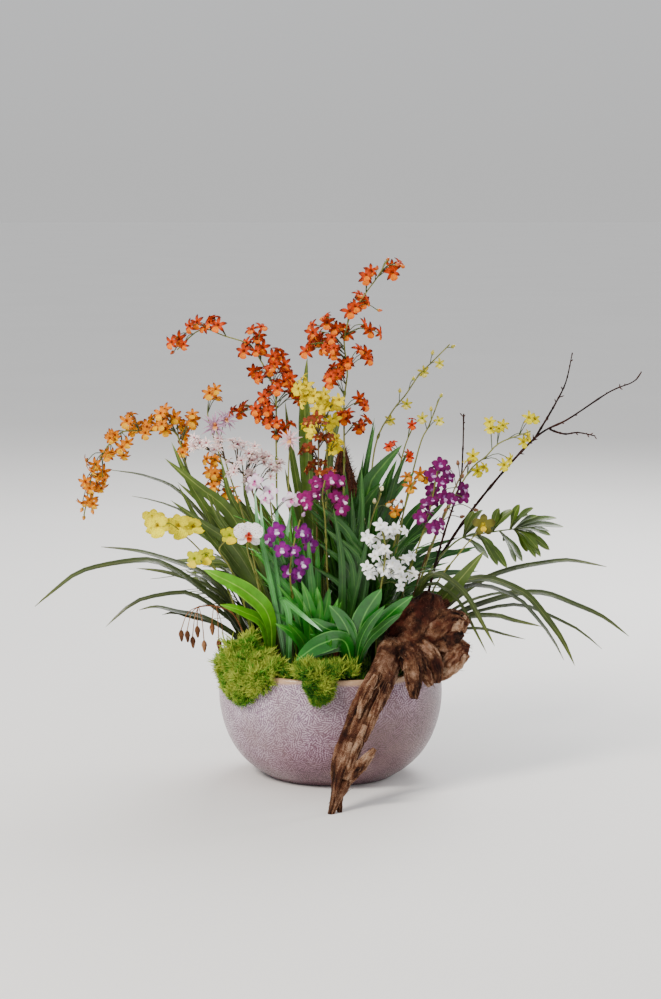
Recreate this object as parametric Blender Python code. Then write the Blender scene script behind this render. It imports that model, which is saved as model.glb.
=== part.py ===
"""An orchid arrangement in a round glazed bowl.

Metres, +Z up. The origin is the centre of the bowl's flat foot, and the front of the arrangement
faces -Y. Plants, moss and a weathered root stand in soil that fills the bowl. Plant routes are
drawn in millimetres on a front elevation, the plane through the bowl's axis, and each point is
then set forward or back along the line of sight from the eye.
"""
import math
import random

import bmesh
import bpy
from mathutils import Vector, noise

MM = 0.001
SHARP, BLUNT, FULL = "sharp", "blunt", "full"
SMOOTH_ANGLE = math.radians(40)
MOSS_ANGLE = math.radians(60)
UP = Vector((0.0, 0.0, 1.0))
FRONT = Vector((0.0, -1.0, 0.0))
EYE = Vector((0.0, -3.665, 0.893))

# Bowl, in millimetres
BOWL_SEGMENTS = 32
FOOT_RADIUS = 95.0
BELLY_RADIUS = 166.0
BELLY_HEIGHT = 131.0
RIM_HEIGHT = 170.0
RIM_RADIUS = 161.0
RIM_WIDTH = 8.0
BOWL_FLOOR = 11.0
OUTER_WALL = ((FOOT_RADIUS, 0), (100, 3), (119, 16), (138, 35), (154, 63),
              (164, 98), (BELLY_RADIUS, BELLY_HEIGHT), (RIM_RADIUS, 166), (158.5, RIM_HEIGHT))
INNER_WALL = ((RIM_RADIUS - RIM_WIDTH, RIM_HEIGHT), (155, 150), (156, 115), (145, 68), (100, BOWL_FLOOR))

# Soil, root pegs and their holes, in millimetres
SOIL_TOP = 150.0
SOIL_CLEARANCE = 0.5
PEG_RADIUS = 5.0
PEG_SIDES = 3
PEG_DEPTH = 14.0
PEG_SHOW = 6.0
HOLE_CLEARANCE = 0.35
HOLE_RISE = 8.0
FOOT_SPREAD = 1.6

# Moss, in millimetres
MOSS_CLEARANCE = 1.2
MOSS_BUMP = 6.5
LEAST_HANG = 14.0
EDGE_THICKNESS = 5.0
CROWN_THICKNESS = 13.0

# Weathered root and bark, in millimetres
WOOD_ROOT = (92, -72)
WOOD_PEG = 8.0
WOOD_PEG_SHOW = 22.0
BARK_PEG = 12.0

# Plant stock, in millimetres
STEM_RADIUS = 2.3
TIP_RADIUS = 1.5
PEDICEL_RADIUS = 0.8
FOOT_SHARE = 0.55
SESSILE_REACH = 10.0
LEAF_THICKNESS = 1.7
STEM_STEP = 46.0
LEAF_STEP = 44.0
LEAST_SPANS = 3

# Floret patterns: petal angle in degrees from the top, petal length, petal width
FIVE_AND_LIP = ((0, 1.0, 0.5), (65, 0.9, 0.5), (128, 0.85, 0.4), (180, 0.95, 0.75), (232, 0.85, 0.4),
                (295, 0.9, 0.5))
FIVE_STAR = ((0, 1.0, 0.55), (72, 1.0, 0.55), (144, 1.0, 0.55), (216, 1.0, 0.55), (288, 1.0, 0.55))
ROUND_FIVE = ((0, 0.9, 0.75), (62, 1.0, 0.95), (128, 0.8, 0.6), (180, 0.75, 0.7), (232, 0.8, 0.6),
              (298, 1.0, 0.95))
SPIDER_FIVE = ((0, 1.0, 0.2), (58, 0.95, 0.2), (130, 1.0, 0.2), (180, 0.5, 0.3), (230, 1.0, 0.2),
               (302, 0.95, 0.2))
RUFFLED_FIVE = ((0, 0.8, 0.6), (60, 0.9, 0.75), (120, 0.8, 0.5), (180, 1.0, 1.05), (240, 0.8, 0.5),
                (300, 0.9, 0.75))


def new_material(name, colour, roughness=0.6, metallic=0.0):
    """Returns a Principled material."""
    material = bpy.data.materials.new(name)
    material.use_nodes = True
    shader = material.node_tree.nodes["Principled BSDF"]
    shader.inputs["Base Color"].default_value = (*colour, 1.0)
    shader.inputs["Roughness"].default_value = roughness
    shader.inputs["Metallic"].default_value = metallic
    return material


def seen(x, height, depth):
    """Sets a point of the front elevation forward or back along the line of sight."""
    drawn = Vector((x, 0.0, height)) * MM
    reach = (depth * MM - EYE.y) / -EYE.y
    return EYE + (drawn - EYE) * reach


def smooth_route(points, count):
    """Reads count + 1 points off a smooth curve through the given ones."""
    ends = [points[0] * 2 - points[1], *points, points[-1] * 2 - points[-2]]
    lengths = [(b - a).length for a, b in zip(points, points[1:])]
    total = sum(lengths)
    route = []
    for step in range(count + 1):
        along = total * step / count
        span = 0
        while span < len(lengths) - 1 and along > lengths[span]:
            along -= lengths[span]
            span += 1
        t = min(along / lengths[span], 1.0)
        p0, p1, p2, p3 = ends[span:span + 4]
        route.append(0.5 * (2 * p1 + (p2 - p0) * t + (2 * p0 - 5 * p1 + 4 * p2 - p3) * t ** 2
                            + (3 * p1 - p0 - 3 * p2 + p3) * t ** 3))
    return route


def steps_along(points, step):
    """The number of spans of about the given length in millimetres along a route."""
    length = sum((b - a).length for a, b in zip(points, points[1:]))
    return max(2, round(length / (step * MM)))


def tangents(route):
    """Unit directions along a route."""
    last = len(route) - 1
    return [(route[min(i + 1, last)] - route[max(i - 1, 0)]).normalized() for i in range(last + 1)]


def tube(points, start, end, sides=3, step=STEM_STEP):
    """A closed tube whose radius in millimetres runs from start to end."""
    route = smooth_route(points, steps_along(points, step))
    count = len(route) - 1
    radii = [(start + (end - start) * i / count) * MM for i in range(count + 1)]
    return skin(route, [(r, r) for r in radii], sides)


def skin(route, radii, sides, wobble=None):
    """A closed skin of rings round a route, with a width and a depth for each ring."""
    along = tangents(route)
    side = along[0].cross(FRONT if abs(along[0].dot(FRONT)) < 0.9 else UP).normalized()
    vertices = []
    for ring, (centre, direction, (wide, deep)) in enumerate(zip(route, along, radii)):
        side = (side - direction * side.dot(direction)).normalized()
        other = direction.cross(side)
        for k in range(sides):
            angle = math.tau * k / sides
            swell = wobble(ring, k) if wobble else 1.0
            vertices.append(centre + (side * math.cos(angle) * wide + other * math.sin(angle) * deep) * swell)
    faces = []
    for ring in range(len(route) - 1):
        a, b = ring * sides, (ring + 1) * sides
        for k in range(sides):
            n = (k + 1) % sides
            faces += [(a + k, a + n, b + n), (a + k, b + n, b + k)]
    top = (len(route) - 1) * sides
    faces += [(0, k + 1, k) for k in range(1, sides - 1)]
    faces += [(top, top + k, top + k + 1) for k in range(1, sides - 1)]
    return vertices, faces


def strap_width(s):
    """A strap leaf keeps its width and tapers over its last third."""
    return min(1.0, 0.35 + 2.5 * s) * min(1.0, 2.4 * (1.02 - s)) ** 0.7


def lance_width(s):
    """A lance leaf rises from a narrow foot and is widest a little past its middle."""
    return 0.18 + 0.82 * math.sin(math.pi * s) ** 0.9


def stalked_width(s):
    """A leaf of a shoot is narrow where it leaves the stem."""
    return 0.14 if s < 0.05 else math.sin(math.pi * min(1.0, 0.15 + 0.8 * s))


def blade(points, width, shape=lance_width, face=FRONT, fold=0.12, step=LEAF_STEP):
    """A leaf: a blade with sharp edges, a keel under its midrib and a pointed tip."""
    route = smooth_route(points, max(LEAST_SPANS, steps_along(points, step)))
    count = len(route) - 1
    vertices = []
    before = Vector()
    for i, (centre, direction) in enumerate(zip(route, tangents(route))):
        s = i / count
        normal = face - direction * face.dot(direction) + (before - direction * before.dot(direction)) * 0.8
        normal.normalize()
        before = normal
        across = direction.cross(normal)
        if i == count:
            vertices.append(centre)
            continue
        half = 0.5 * width * MM * shape(s)
        keel = LEAF_THICKNESS * MM * (1.0 - 0.4 * s) + half * fold
        vertices += [centre - across * half, centre + across * half, centre - normal * keel]
    faces = [(0, 1, 2)]
    for i in range(count - 1):
        for k in range(3):
            a, b = 3 * i + k, 3 * i + (k + 1) % 3
            faces += [(a, b, b + 3), (a, b + 3, a + 3)]
    base, tip = 3 * (count - 1), 3 * count
    faces += [(base, base + 1, tip), (base + 1, base + 2, tip), (base + 2, base, tip)]
    return vertices, faces


def outline_of(petals, tips):
    """Points round a floret as (angle, reach, lift): a notch, then the petal's tip, corners or both."""
    points = []
    for i, (angle, length, width) in enumerate(petals):
        before = petals[i - 1][0] - (360 if i == 0 else 0)
        spread = math.degrees(math.atan2(width / 2, length * 0.7))
        blunt = tips == BLUNT or (tips == SHARP and width > 0.7)
        points.append(((before + angle) / 2, 0.28, 0.0))
        if tips == SHARP and not blunt:
            points.append((angle, length, 1.0))
            continue
        shoulder = length * (0.95 if blunt else 0.8)
        points.append((angle - spread, shoulder, 0.6))
        if not blunt:
            points.append((angle, length, 1.0))
        points.append((angle + spread, shoulder, 0.6))
    return points


def floret(start, centre, facing, size, petals, cup=0.12, turn=0.0, tips=SHARP):
    """A floret and its stalk in one skin: petals fan out in front of a three-sided stalk."""
    facing = facing.normalized()
    upward = (UP - facing * UP.dot(facing)).normalized()
    across = upward.cross(facing)
    size = size * MM
    outline = outline_of(petals, tips)
    rays = []
    for angle, reach, lift in outline:
        swing = math.radians(angle + turn)
        rays.append((upward * math.cos(swing) + across * math.sin(swing)) * reach + facing * lift * cup)
    count = len(rays)
    vertices = [centre + ray * size for ray in rays]
    vertices.append(centre + facing * 1.6 * MM)
    if (centre - start).length < SESSILE_REACH * MM:
        vertices.append(start)
        faces = [(count, (i + 1) % count, i) for i in range(count)]
        return vertices, faces + [(count + 1, i, (i + 1) % count) for i in range(count)]
    radius = PEDICEL_RADIUS * MM
    for level, swell in ((centre - facing * 2.2 * MM, radius), (start, radius * FOOT_SHARE)):
        for k in range(3):
            angle = math.radians(120 * k + 60 + turn)
            vertices.append(level + (upward * math.cos(angle) + across * math.sin(angle)) * swell)
    tip, neck, foot = count, count + 1, count + 4
    owner = [int(((outline[i][0] + 360) % 360) // 120) for i in range(count)]
    faces = []
    for i in range(count):
        n = (i + 1) % count
        faces.append((tip, n, i))
        faces.append((neck + owner[i], i, n))
        if owner[n] != owner[i]:
            faces.append((neck + owner[i], n, neck + owner[n]))
    for k in range(3):
        n = (k + 1) % 3
        faces += [(neck + k, neck + n, foot + n), (neck + k, foot + n, foot + k)]
    faces.append((foot, foot + 1, foot + 2))
    return vertices, faces


def bud(start, centre, direction, length, radius, sides=3):
    """A bud or pod with its stalk: rings from the stalk's foot to the pointed tip."""
    direction = direction.normalized()
    side = direction.cross(FRONT if abs(direction.dot(FRONT)) < 0.9 else UP).normalized()
    other = direction.cross(side)
    stalk = PEDICEL_RADIUS * MM
    half = direction * length * 0.5 * MM
    vertices = []
    for place, swell in ((start, stalk * FOOT_SHARE), (centre - half, stalk), (centre, radius * MM)):
        for k in range(sides):
            angle = math.tau * k / sides
            vertices.append(place + (side * math.cos(angle) + other * math.sin(angle)) * swell)
    vertices.append(centre + half)
    faces = [(0, k + 1, k) for k in range(1, sides - 1)]
    for k in range(sides):
        n = (k + 1) % sides
        for a, b in ((0, sides), (sides, 2 * sides)):
            faces += [(a + k, a + n, b + n), (a + k, b + n, b + k)]
        faces.append((2 * sides + k, 2 * sides + n, 3 * sides))
    return vertices, faces


def mesh_object(name, shape, material=None):
    """Makes an object from vertices and faces, with every face pointing out."""
    mesh = bpy.data.meshes.new(name)
    mesh.from_pydata([tuple(v) for v in shape[0]], [], shape[1])
    work = bmesh.new()
    work.from_mesh(mesh)
    bmesh.ops.recalc_face_normals(work, faces=work.faces)
    if work.calc_volume(signed=True) < 0:
        bmesh.ops.reverse_faces(work, faces=work.faces)
    work.to_mesh(mesh)
    work.free()
    thing = bpy.data.objects.new(name, mesh)
    bpy.context.scene.collection.objects.link(thing)
    if material:
        mesh.materials.append(material)
    return thing


def apply_modifiers(thing):
    """Replaces an object's mesh by its evaluated one."""
    seen_by_viewport = thing.evaluated_get(bpy.context.evaluated_depsgraph_get())
    mesh = bpy.data.meshes.new_from_object(seen_by_viewport)
    thing.modifiers.clear()
    thing.data = mesh


def keep_largest(thing):
    """Drops loose scraps, so that one body is left."""
    work = bmesh.new()
    work.from_mesh(thing.data)
    bmesh.ops.triangulate(work, faces=work.faces)
    unseen = set(work.faces)
    islands = []
    while unseen:
        island, front = [], [unseen.pop()]
        while front:
            face = front.pop()
            island.append(face)
            for edge in face.edges:
                for other in edge.link_faces if len(edge.link_faces) == 2 else ():
                    if other in unseen:
                        unseen.discard(other)
                        front.append(other)
        islands.append(island)
    islands.sort(key=len, reverse=True)
    for island in islands[1:]:
        bmesh.ops.delete(work, geom=island, context="FACES")
    work.to_mesh(thing.data)
    work.free()


def fuse(name, shapes, material):
    """Joins the pieces of one plant or root into a single body."""
    base = mesh_object(name, shapes[0], material)
    if len(shapes) > 1:
        rest = bpy.data.collections.new(name + "_pieces")
        bpy.context.scene.collection.children.link(rest)
        for number, shape in enumerate(shapes[1:]):
            piece = mesh_object(f"{name}_piece_{number}", shape)
            bpy.context.scene.collection.objects.unlink(piece)
            rest.objects.link(piece)
        union = base.modifiers.new("Join", "BOOLEAN")
        union.operation = "UNION"
        union.solver = "MANIFOLD"
        union.operand_type = "COLLECTION"
        union.collection = rest
        apply_modifiers(base)
        for piece in list(rest.objects):
            bpy.data.objects.remove(piece)
        bpy.data.collections.remove(rest)
        keep_largest(base)
    base.data.materials.clear()
    base.data.materials.append(material)
    base.data.set_sharp_from_angle(angle=SMOOTH_ANGLE)
    return base


def peg(x, y, radius=PEG_RADIUS, depth=PEG_DEPTH, show=PEG_SHOW):
    """The rooted foot of a plant, which stands in a hole in the soil."""
    low = Vector((x, y, SOIL_TOP - depth)) * MM
    high = Vector((x, y, SOIL_TOP + show)) * MM
    return skin([low, (low + high) / 2, high], [(radius * MM, radius * MM)] * 3, PEG_SIDES)


def foot_of(root, number=0):
    """Where the stem or leaf of a given number leaves its root: each a little beside the last."""
    turn = 2.4 * number
    return Vector((root[0] + FOOT_SPREAD * math.cos(turn), root[1] + FOOT_SPREAD * math.sin(turn),
                   SOIL_TOP + PEG_SHOW * 0.6 - 0.4 * number)) * MM


def route_from(root, points, tip_depth, number=0):
    """A plant's route: up out of its root, then through points of the front elevation."""
    foot = foot_of(root, number)
    drawn = [Vector((x, h)) for x, h in points]
    before = Vector((root[0], SOIL_TOP))
    runs = []
    for point in drawn:
        runs.append((point - before).length)
        before = point
    total = sum(runs)
    route, run = [foot], 0.0
    for (x, h), length in zip(points, runs):
        run += length
        depth = root[1] + (tip_depth - root[1]) * (run / total)
        route.append(seen(x, h, depth))
    return route


def between(rings, parts):
    """Points on the straight axis between a stem's rings."""
    return [a.lerp(b, k / parts) for a, b in zip(rings, rings[1:]) for k in range(parts)] + [rings[-1]]


def nearest_on(route, point):
    """The place on a finely read route that is nearest to a point on the front elevation."""
    return min(range(len(route)), key=lambda i: (route[i].x - point.x) ** 2 + (route[i].z - point.z) ** 2)


def spray(root, stem, tip_depth, florets, size, petals, tips=SHARP, buds=(), bud_size=(9, 2.9),
          thick=STEM_RADIUS, cup=0.12, side=13.0, drop=3):
    """A flowering stem: the stem, and florets or buds on short stalks that leave it by turns."""
    points = route_from(root, stem, tip_depth)
    rings = smooth_route(points, steps_along(points, STEM_STEP))
    fine = between(rings, 8)
    shapes = [tube(points, thick, TIP_RADIUS)]
    for number, (x, h) in enumerate([*florets, *buds]):
        middle = seen(x, h, 0.0)
        depth = fine[nearest_on(fine, middle)].y / MM
        turn = (-1.0, 0.35, -0.45, 1.0)[number % 4]
        place = seen(x, h, depth + side * turn)
        start = fine[max(0, nearest_on(fine, place) - drop)]
        away = place - start
        facing = away.normalized() * 0.3 + FRONT + UP * 0.1
        if turn > 0.9:
            facing = away.normalized() * 0.4 - FRONT * 0.8 + UP * 0.1
        if number < len(florets):
            shapes.append(floret(start, place, facing, size, petals, cup, 14 * math.sin(number * 2.3), tips))
        else:
            shapes.append(bud(start, place, away, *bud_size))
    return shapes


def grass(root, leaves, seed, length, width, spread, azimuth=0.0, arc=360.0, lift=0.8):
    """Narrow leaves that fan out of one root by a seeded rule."""
    draw = random.Random(seed)
    shapes = []
    for number in range(leaves):
        foot = foot_of(root, number)
        angle = math.radians(azimuth + arc * ((number + 0.5) / leaves - 0.5) + draw.uniform(-8, 8))
        out = Vector((math.cos(angle), math.sin(angle), 0.0))
        long = length * draw.uniform(0.7, 1.1) * MM
        wide = spread * draw.uniform(0.6, 1.2)
        route = [foot, foot + out * long * wide * 0.18 + UP * long * 0.42 * lift,
                 foot + out * long * wide * 0.5 + UP * long * 0.8 * lift,
                 foot + out * long * wide * 0.95 + UP * long * lift * (1.0 - 0.25 * wide)]
        face = (UP * 0.6 - out).normalized()
        shapes.append(blade(route, width * draw.uniform(0.8, 1.15), strap_width, face, step=length / 5))
    return shapes


def turned(profile, segments):
    """A closed solid turned round Z from an outline of (radius, height) in millimetres."""
    vertices = []
    for radius, height in profile:
        for k in range(segments):
            angle = math.tau * k / segments
            vertices.append(Vector((radius * math.cos(angle), radius * math.sin(angle), height)) * MM)
    faces = []
    for ring in range(len(profile) - 1):
        a, b = ring * segments, (ring + 1) * segments
        for k in range(segments):
            n = (k + 1) % segments
            faces += [(a + k, a + n, b + n), (a + k, b + n, b + k)]
    faces.append(tuple(reversed(range(segments))))
    last = (len(profile) - 1) * segments
    faces.append(tuple(range(last, last + segments)))
    return vertices, faces


def make_bowl(material):
    """The bowl: one turned wall with a flat foot and a flat floor inside."""
    bowl = mesh_object("bowl", turned([*OUTER_WALL, *INNER_WALL], BOWL_SEGMENTS), material)
    bowl.data.shade_smooth()
    bowl.data.set_sharp_from_angle(angle=SMOOTH_ANGLE)


def make_soil(roots, material):
    """Soil that fills the bowl, with a plain hole for every root."""
    inside = [(r - SOIL_CLEARANCE, h) for r, h in INNER_WALL if h < SOIL_TOP + 1]
    inside[-1] = (inside[-1][0], BOWL_FLOOR + SOIL_CLEARANCE)
    soil = mesh_object("soil", turned(inside, BOWL_SEGMENTS), material)
    holes = bpy.data.collections.new("holes")
    bpy.context.scene.collection.children.link(holes)
    for number, (x, y, radius) in enumerate(roots):
        wall = radius + HOLE_CLEARANCE / math.cos(math.pi / PEG_SIDES)
        shape = peg(x, y, wall, PEG_DEPTH + HOLE_CLEARANCE, HOLE_RISE)
        cutter = mesh_object(f"hole_{number}", shape)
        bpy.context.scene.collection.objects.unlink(cutter)
        holes.objects.link(cutter)
    cut = soil.modifiers.new("Holes", "BOOLEAN")
    cut.operation = "DIFFERENCE"
    cut.solver = "MANIFOLD"
    cut.operand_type = "COLLECTION"
    cut.collection = holes
    apply_modifiers(soil)
    for cutter in list(holes.objects):
        bpy.data.objects.remove(cutter)
    bpy.data.collections.remove(holes)
    keep_largest(soil)
    soil.data.materials.clear()
    soil.data.materials.append(material)


def wall_radius(height):
    """The bowl's outer radius at a height."""
    for (r0, h0), (r1, h1) in zip(OUTER_WALL, OUTER_WALL[1:]):
        if h0 <= height <= h1:
            return r0 + (r1 - r0) * (height - h0) / (h1 - h0)
    return FOOT_RADIUS


def behind_rim(inner, crown, swell, soil_line):
    """A section of moss that stands inside the bowl: points round its under side, then its upper side."""
    inside = RIM_RADIUS - RIM_WIDTH - MOSS_CLEARANCE - 1.5
    over = RIM_HEIGHT + MOSS_CLEARANCE
    climb = [(inside - 6 * k ** 3, over + (crown - over) * k) for k in (0, 0.12, 0.24, 0.36, 0.5, 0.65, 0.82)]
    return [(inner, soil_line), (inside, soil_line), *climb, (inside - 11, crown),
            ((inner + inside) / 2 - 2, crown + 3 * swell), (inner + 2, soil_line + 12 * swell + 4)]


def on_rim(inner, crown, swell, soil_line):
    """A section of moss that lies on the rim but doesn't hang outside it."""
    inside = RIM_RADIUS - RIM_WIDTH - MOSS_CLEARANCE - 1.5
    over = RIM_HEIGHT + MOSS_CLEARANCE
    return [(inner, soil_line), (inside, soil_line), (inside, over), (RIM_RADIUS + 2.6, over),
            (RIM_RADIUS + 4, over + 0.8), (RIM_RADIUS + 5, over + 2), (RIM_RADIUS + 5.4, over + 4),
            (RIM_RADIUS + 4.6, over + 7), (RIM_RADIUS + 1, over + 10), (RIM_RADIUS - 10, crown),
            ((inner + inside) / 2 - 2, crown + 3 * swell), (inner + 2, soil_line + 12 * swell + 4)]


def moss_bank(name, start, end, inner, rise, hang, seed, material, segments=14, taper=0.0,
              crossing=(0, 99)):
    """A bank of moss along the rim: it lies on the soil and, at its crossing steps, hangs over the rim."""
    draw = random.Random(seed)
    vertices = []
    under_count, over_count = 6, 6
    for step in range(segments + 1):
        s = step / segments
        angle = math.radians(start + (end - start) * s)
        swell = math.sin(math.pi * min(max(s, 0.06), 0.94)) ** 0.6
        low = RIM_HEIGHT - LEAST_HANG - hang * math.sin(math.pi * s) ** 1.5 * (0.85 + 0.15 * math.cos(9 * s))
        middle = BELLY_HEIGHT if low < BELLY_HEIGHT - 10 else (low + RIM_HEIGHT) / 2
        top = SOIL_TOP + 6.0 + rise * swell * (1.0 - taper * s)
        soil_line = SOIL_TOP + 0.6
        inside = RIM_RADIUS - RIM_WIDTH - MOSS_CLEARANCE - 1.5
        over = RIM_HEIGHT + MOSS_CLEARANCE
        outside = wall_radius(low) + MOSS_CLEARANCE
        belly = wall_radius(middle) + MOSS_CLEARANCE + 1.0
        thick = EDGE_THICKNESS + CROWN_THICKNESS * swell
        under = [(inner, soil_line), (inside, soil_line), (inside, over), (RIM_RADIUS + 2.6, over),
                 (belly, middle), (outside + 0.5, low)]
        crown = max(top, over + 8)
        above = [(outside + thick * 0.55, low + 1.0), (belly + thick, (low * 0.55 + over * 0.45)),
                 (RIM_RADIUS + thick, over + 4), (RIM_RADIUS - 5, crown),
                 ((inner + inside) / 2 - 2, crown + 4 * swell),
                 (inner + 2, soil_line + 8 + 0.3 * rise * swell)]
        section = under + above
        if step in (crossing[0] - 1, crossing[1] + 1):
            section = on_rim(inner, crown, swell, soil_line)
        elif not crossing[0] <= step <= crossing[1]:
            section = behind_rim(inner, crown, swell, soil_line)
        for number, (radius, height) in enumerate(section):
            if number >= under_count:
                bump = MOSS_BUMP * swell * (1 if (number + step) % 2 else -0.4) * draw.uniform(0.5, 1.0)
                radius += bump * 0.6 if number < under_count + 3 else 0.0
                height += bump if number >= under_count + 2 else 0.0
            vertices.append(Vector((radius * math.cos(angle), radius * math.sin(angle), height)) * MM)
    ring = under_count + over_count
    faces = []
    for step in range(segments):
        a, b = step * ring, (step + 1) * ring
        for k in range(ring):
            n = (k + 1) % ring
            faces += [(a + k, a + n, b + n), (a + k, b + n, b + k)]
    faces += [tuple(range(first, first + ring)) for first in (0, segments * ring)]
    bank = mesh_object(name, (vertices, faces), material)
    bank.data.set_sharp_from_angle(angle=MOSS_ANGLE)
    return bank


def gnarled(points, radii, flat=0.8, sides=6, step=24.0, rough=0.22, seed=0):
    """A weathered limb: rings of uneven radius along a route of elevation points."""
    rail = [seen(*p) for p in points]
    count = steps_along(rail, step)
    route = smooth_route(rail, count)
    widths = []
    for i in range(count + 1):
        place = i / count * (len(radii) - 1)
        low = min(int(place), len(radii) - 2)
        radius = radii[low] + (radii[low + 1] - radii[low]) * (place - low)
        widths.append((radius * MM, radius * flat * MM))

    def wobble(ring, k):
        sample = Vector((ring * 0.55, k * 1.7, seed * 3.1))
        return 1.0 + rough * noise.noise(sample) + rough * 0.5 * math.cos(k * math.pi)

    return skin(route, widths, sides, wobble)


# Limbs of the weathered root: elevation points (x, height, depth), radii, and depth over width
WOOD_LIMBS = (
    (((80, 172, -72), (100, 185, -80), (122, 208, -86), (142, 240, -88), (152, 270, -86)),
     (18, 30, 37, 31, 9), 0.8),
    (((118, 200, -86), (155, 216, -94), (184, 230, -98), (203, 222, -100)), (31, 26, 19, 8), 0.8),
    (((126, 190, -88), (168, 192, -100), (206, 182, -106)), (26, 20, 9), 0.8),
    (((126, 178, -92), (160, 170, -106), (188, 164, -110)), (19, 13, 5), 0.6),
    (((105, 192, -96), (118, 172, -134), (126, 138, -156), (125, 110, -160)), (18, 16, 12, 5), 0.7),
    (((120, 190, -100), (146, 172, -122), (158, 150, -132), (158, 134, -134)), (22, 18, 12, 5), 0.6),
    (((100, 190, -88), (88, 172, -126), (81, 156, -152), (72, 134, -174), (60, 108, -186), (47, 82, -192),
      (36, 55, -202), (25, 30, -213), (15, -18, -233), (6, -48, -247), (0, -68, -255)),
     (20, 19, 17, 18, 19, 18, 17, 17, 15, 8, 4), 0.68),
    (((22, -8, -229), (12, -40, -238), (14, -66, -246)), (9, 7, 3), 0.7),
    (((24, -18, -233), (46, 8, -232), (66, 34, -232)), (6, 8, 3), 0.6),
    (((105, 205, -80), (100, 240, -80), (112, 262, -82)), (18, 11, 4), 0.8),
    (((140, 225, -84), (166, 250, -82), (176, 258, -82)), (16, 10, 4), 0.8),
)


def make_driftwood(material):
    """The weathered root: a stump on the soil and a leg that crosses the rim and reaches the ground."""
    shapes = [gnarled(points, radii, flat, seed=i) for i, (points, radii, flat) in enumerate(WOOD_LIMBS)]
    shapes.append(peg(*WOOD_ROOT, radius=WOOD_PEG, show=WOOD_PEG_SHOW))
    wood = fuse("driftwood", shapes, material)
    work = bmesh.new()
    work.from_mesh(wood.data)
    cut = bmesh.ops.bisect_plane(work, geom=[*work.verts, *work.edges, *work.faces], dist=1e-6,
                                 plane_co=(0, 0, 0), plane_no=(0, 0, -1), clear_outer=True)
    rim = [e for e in cut["geom_cut"] if isinstance(e, bmesh.types.BMEdge)]
    bmesh.ops.holes_fill(work, edges=rim)
    bmesh.ops.triangulate(work, faces=work.faces)
    work.to_mesh(wood.data)
    work.free()


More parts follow.
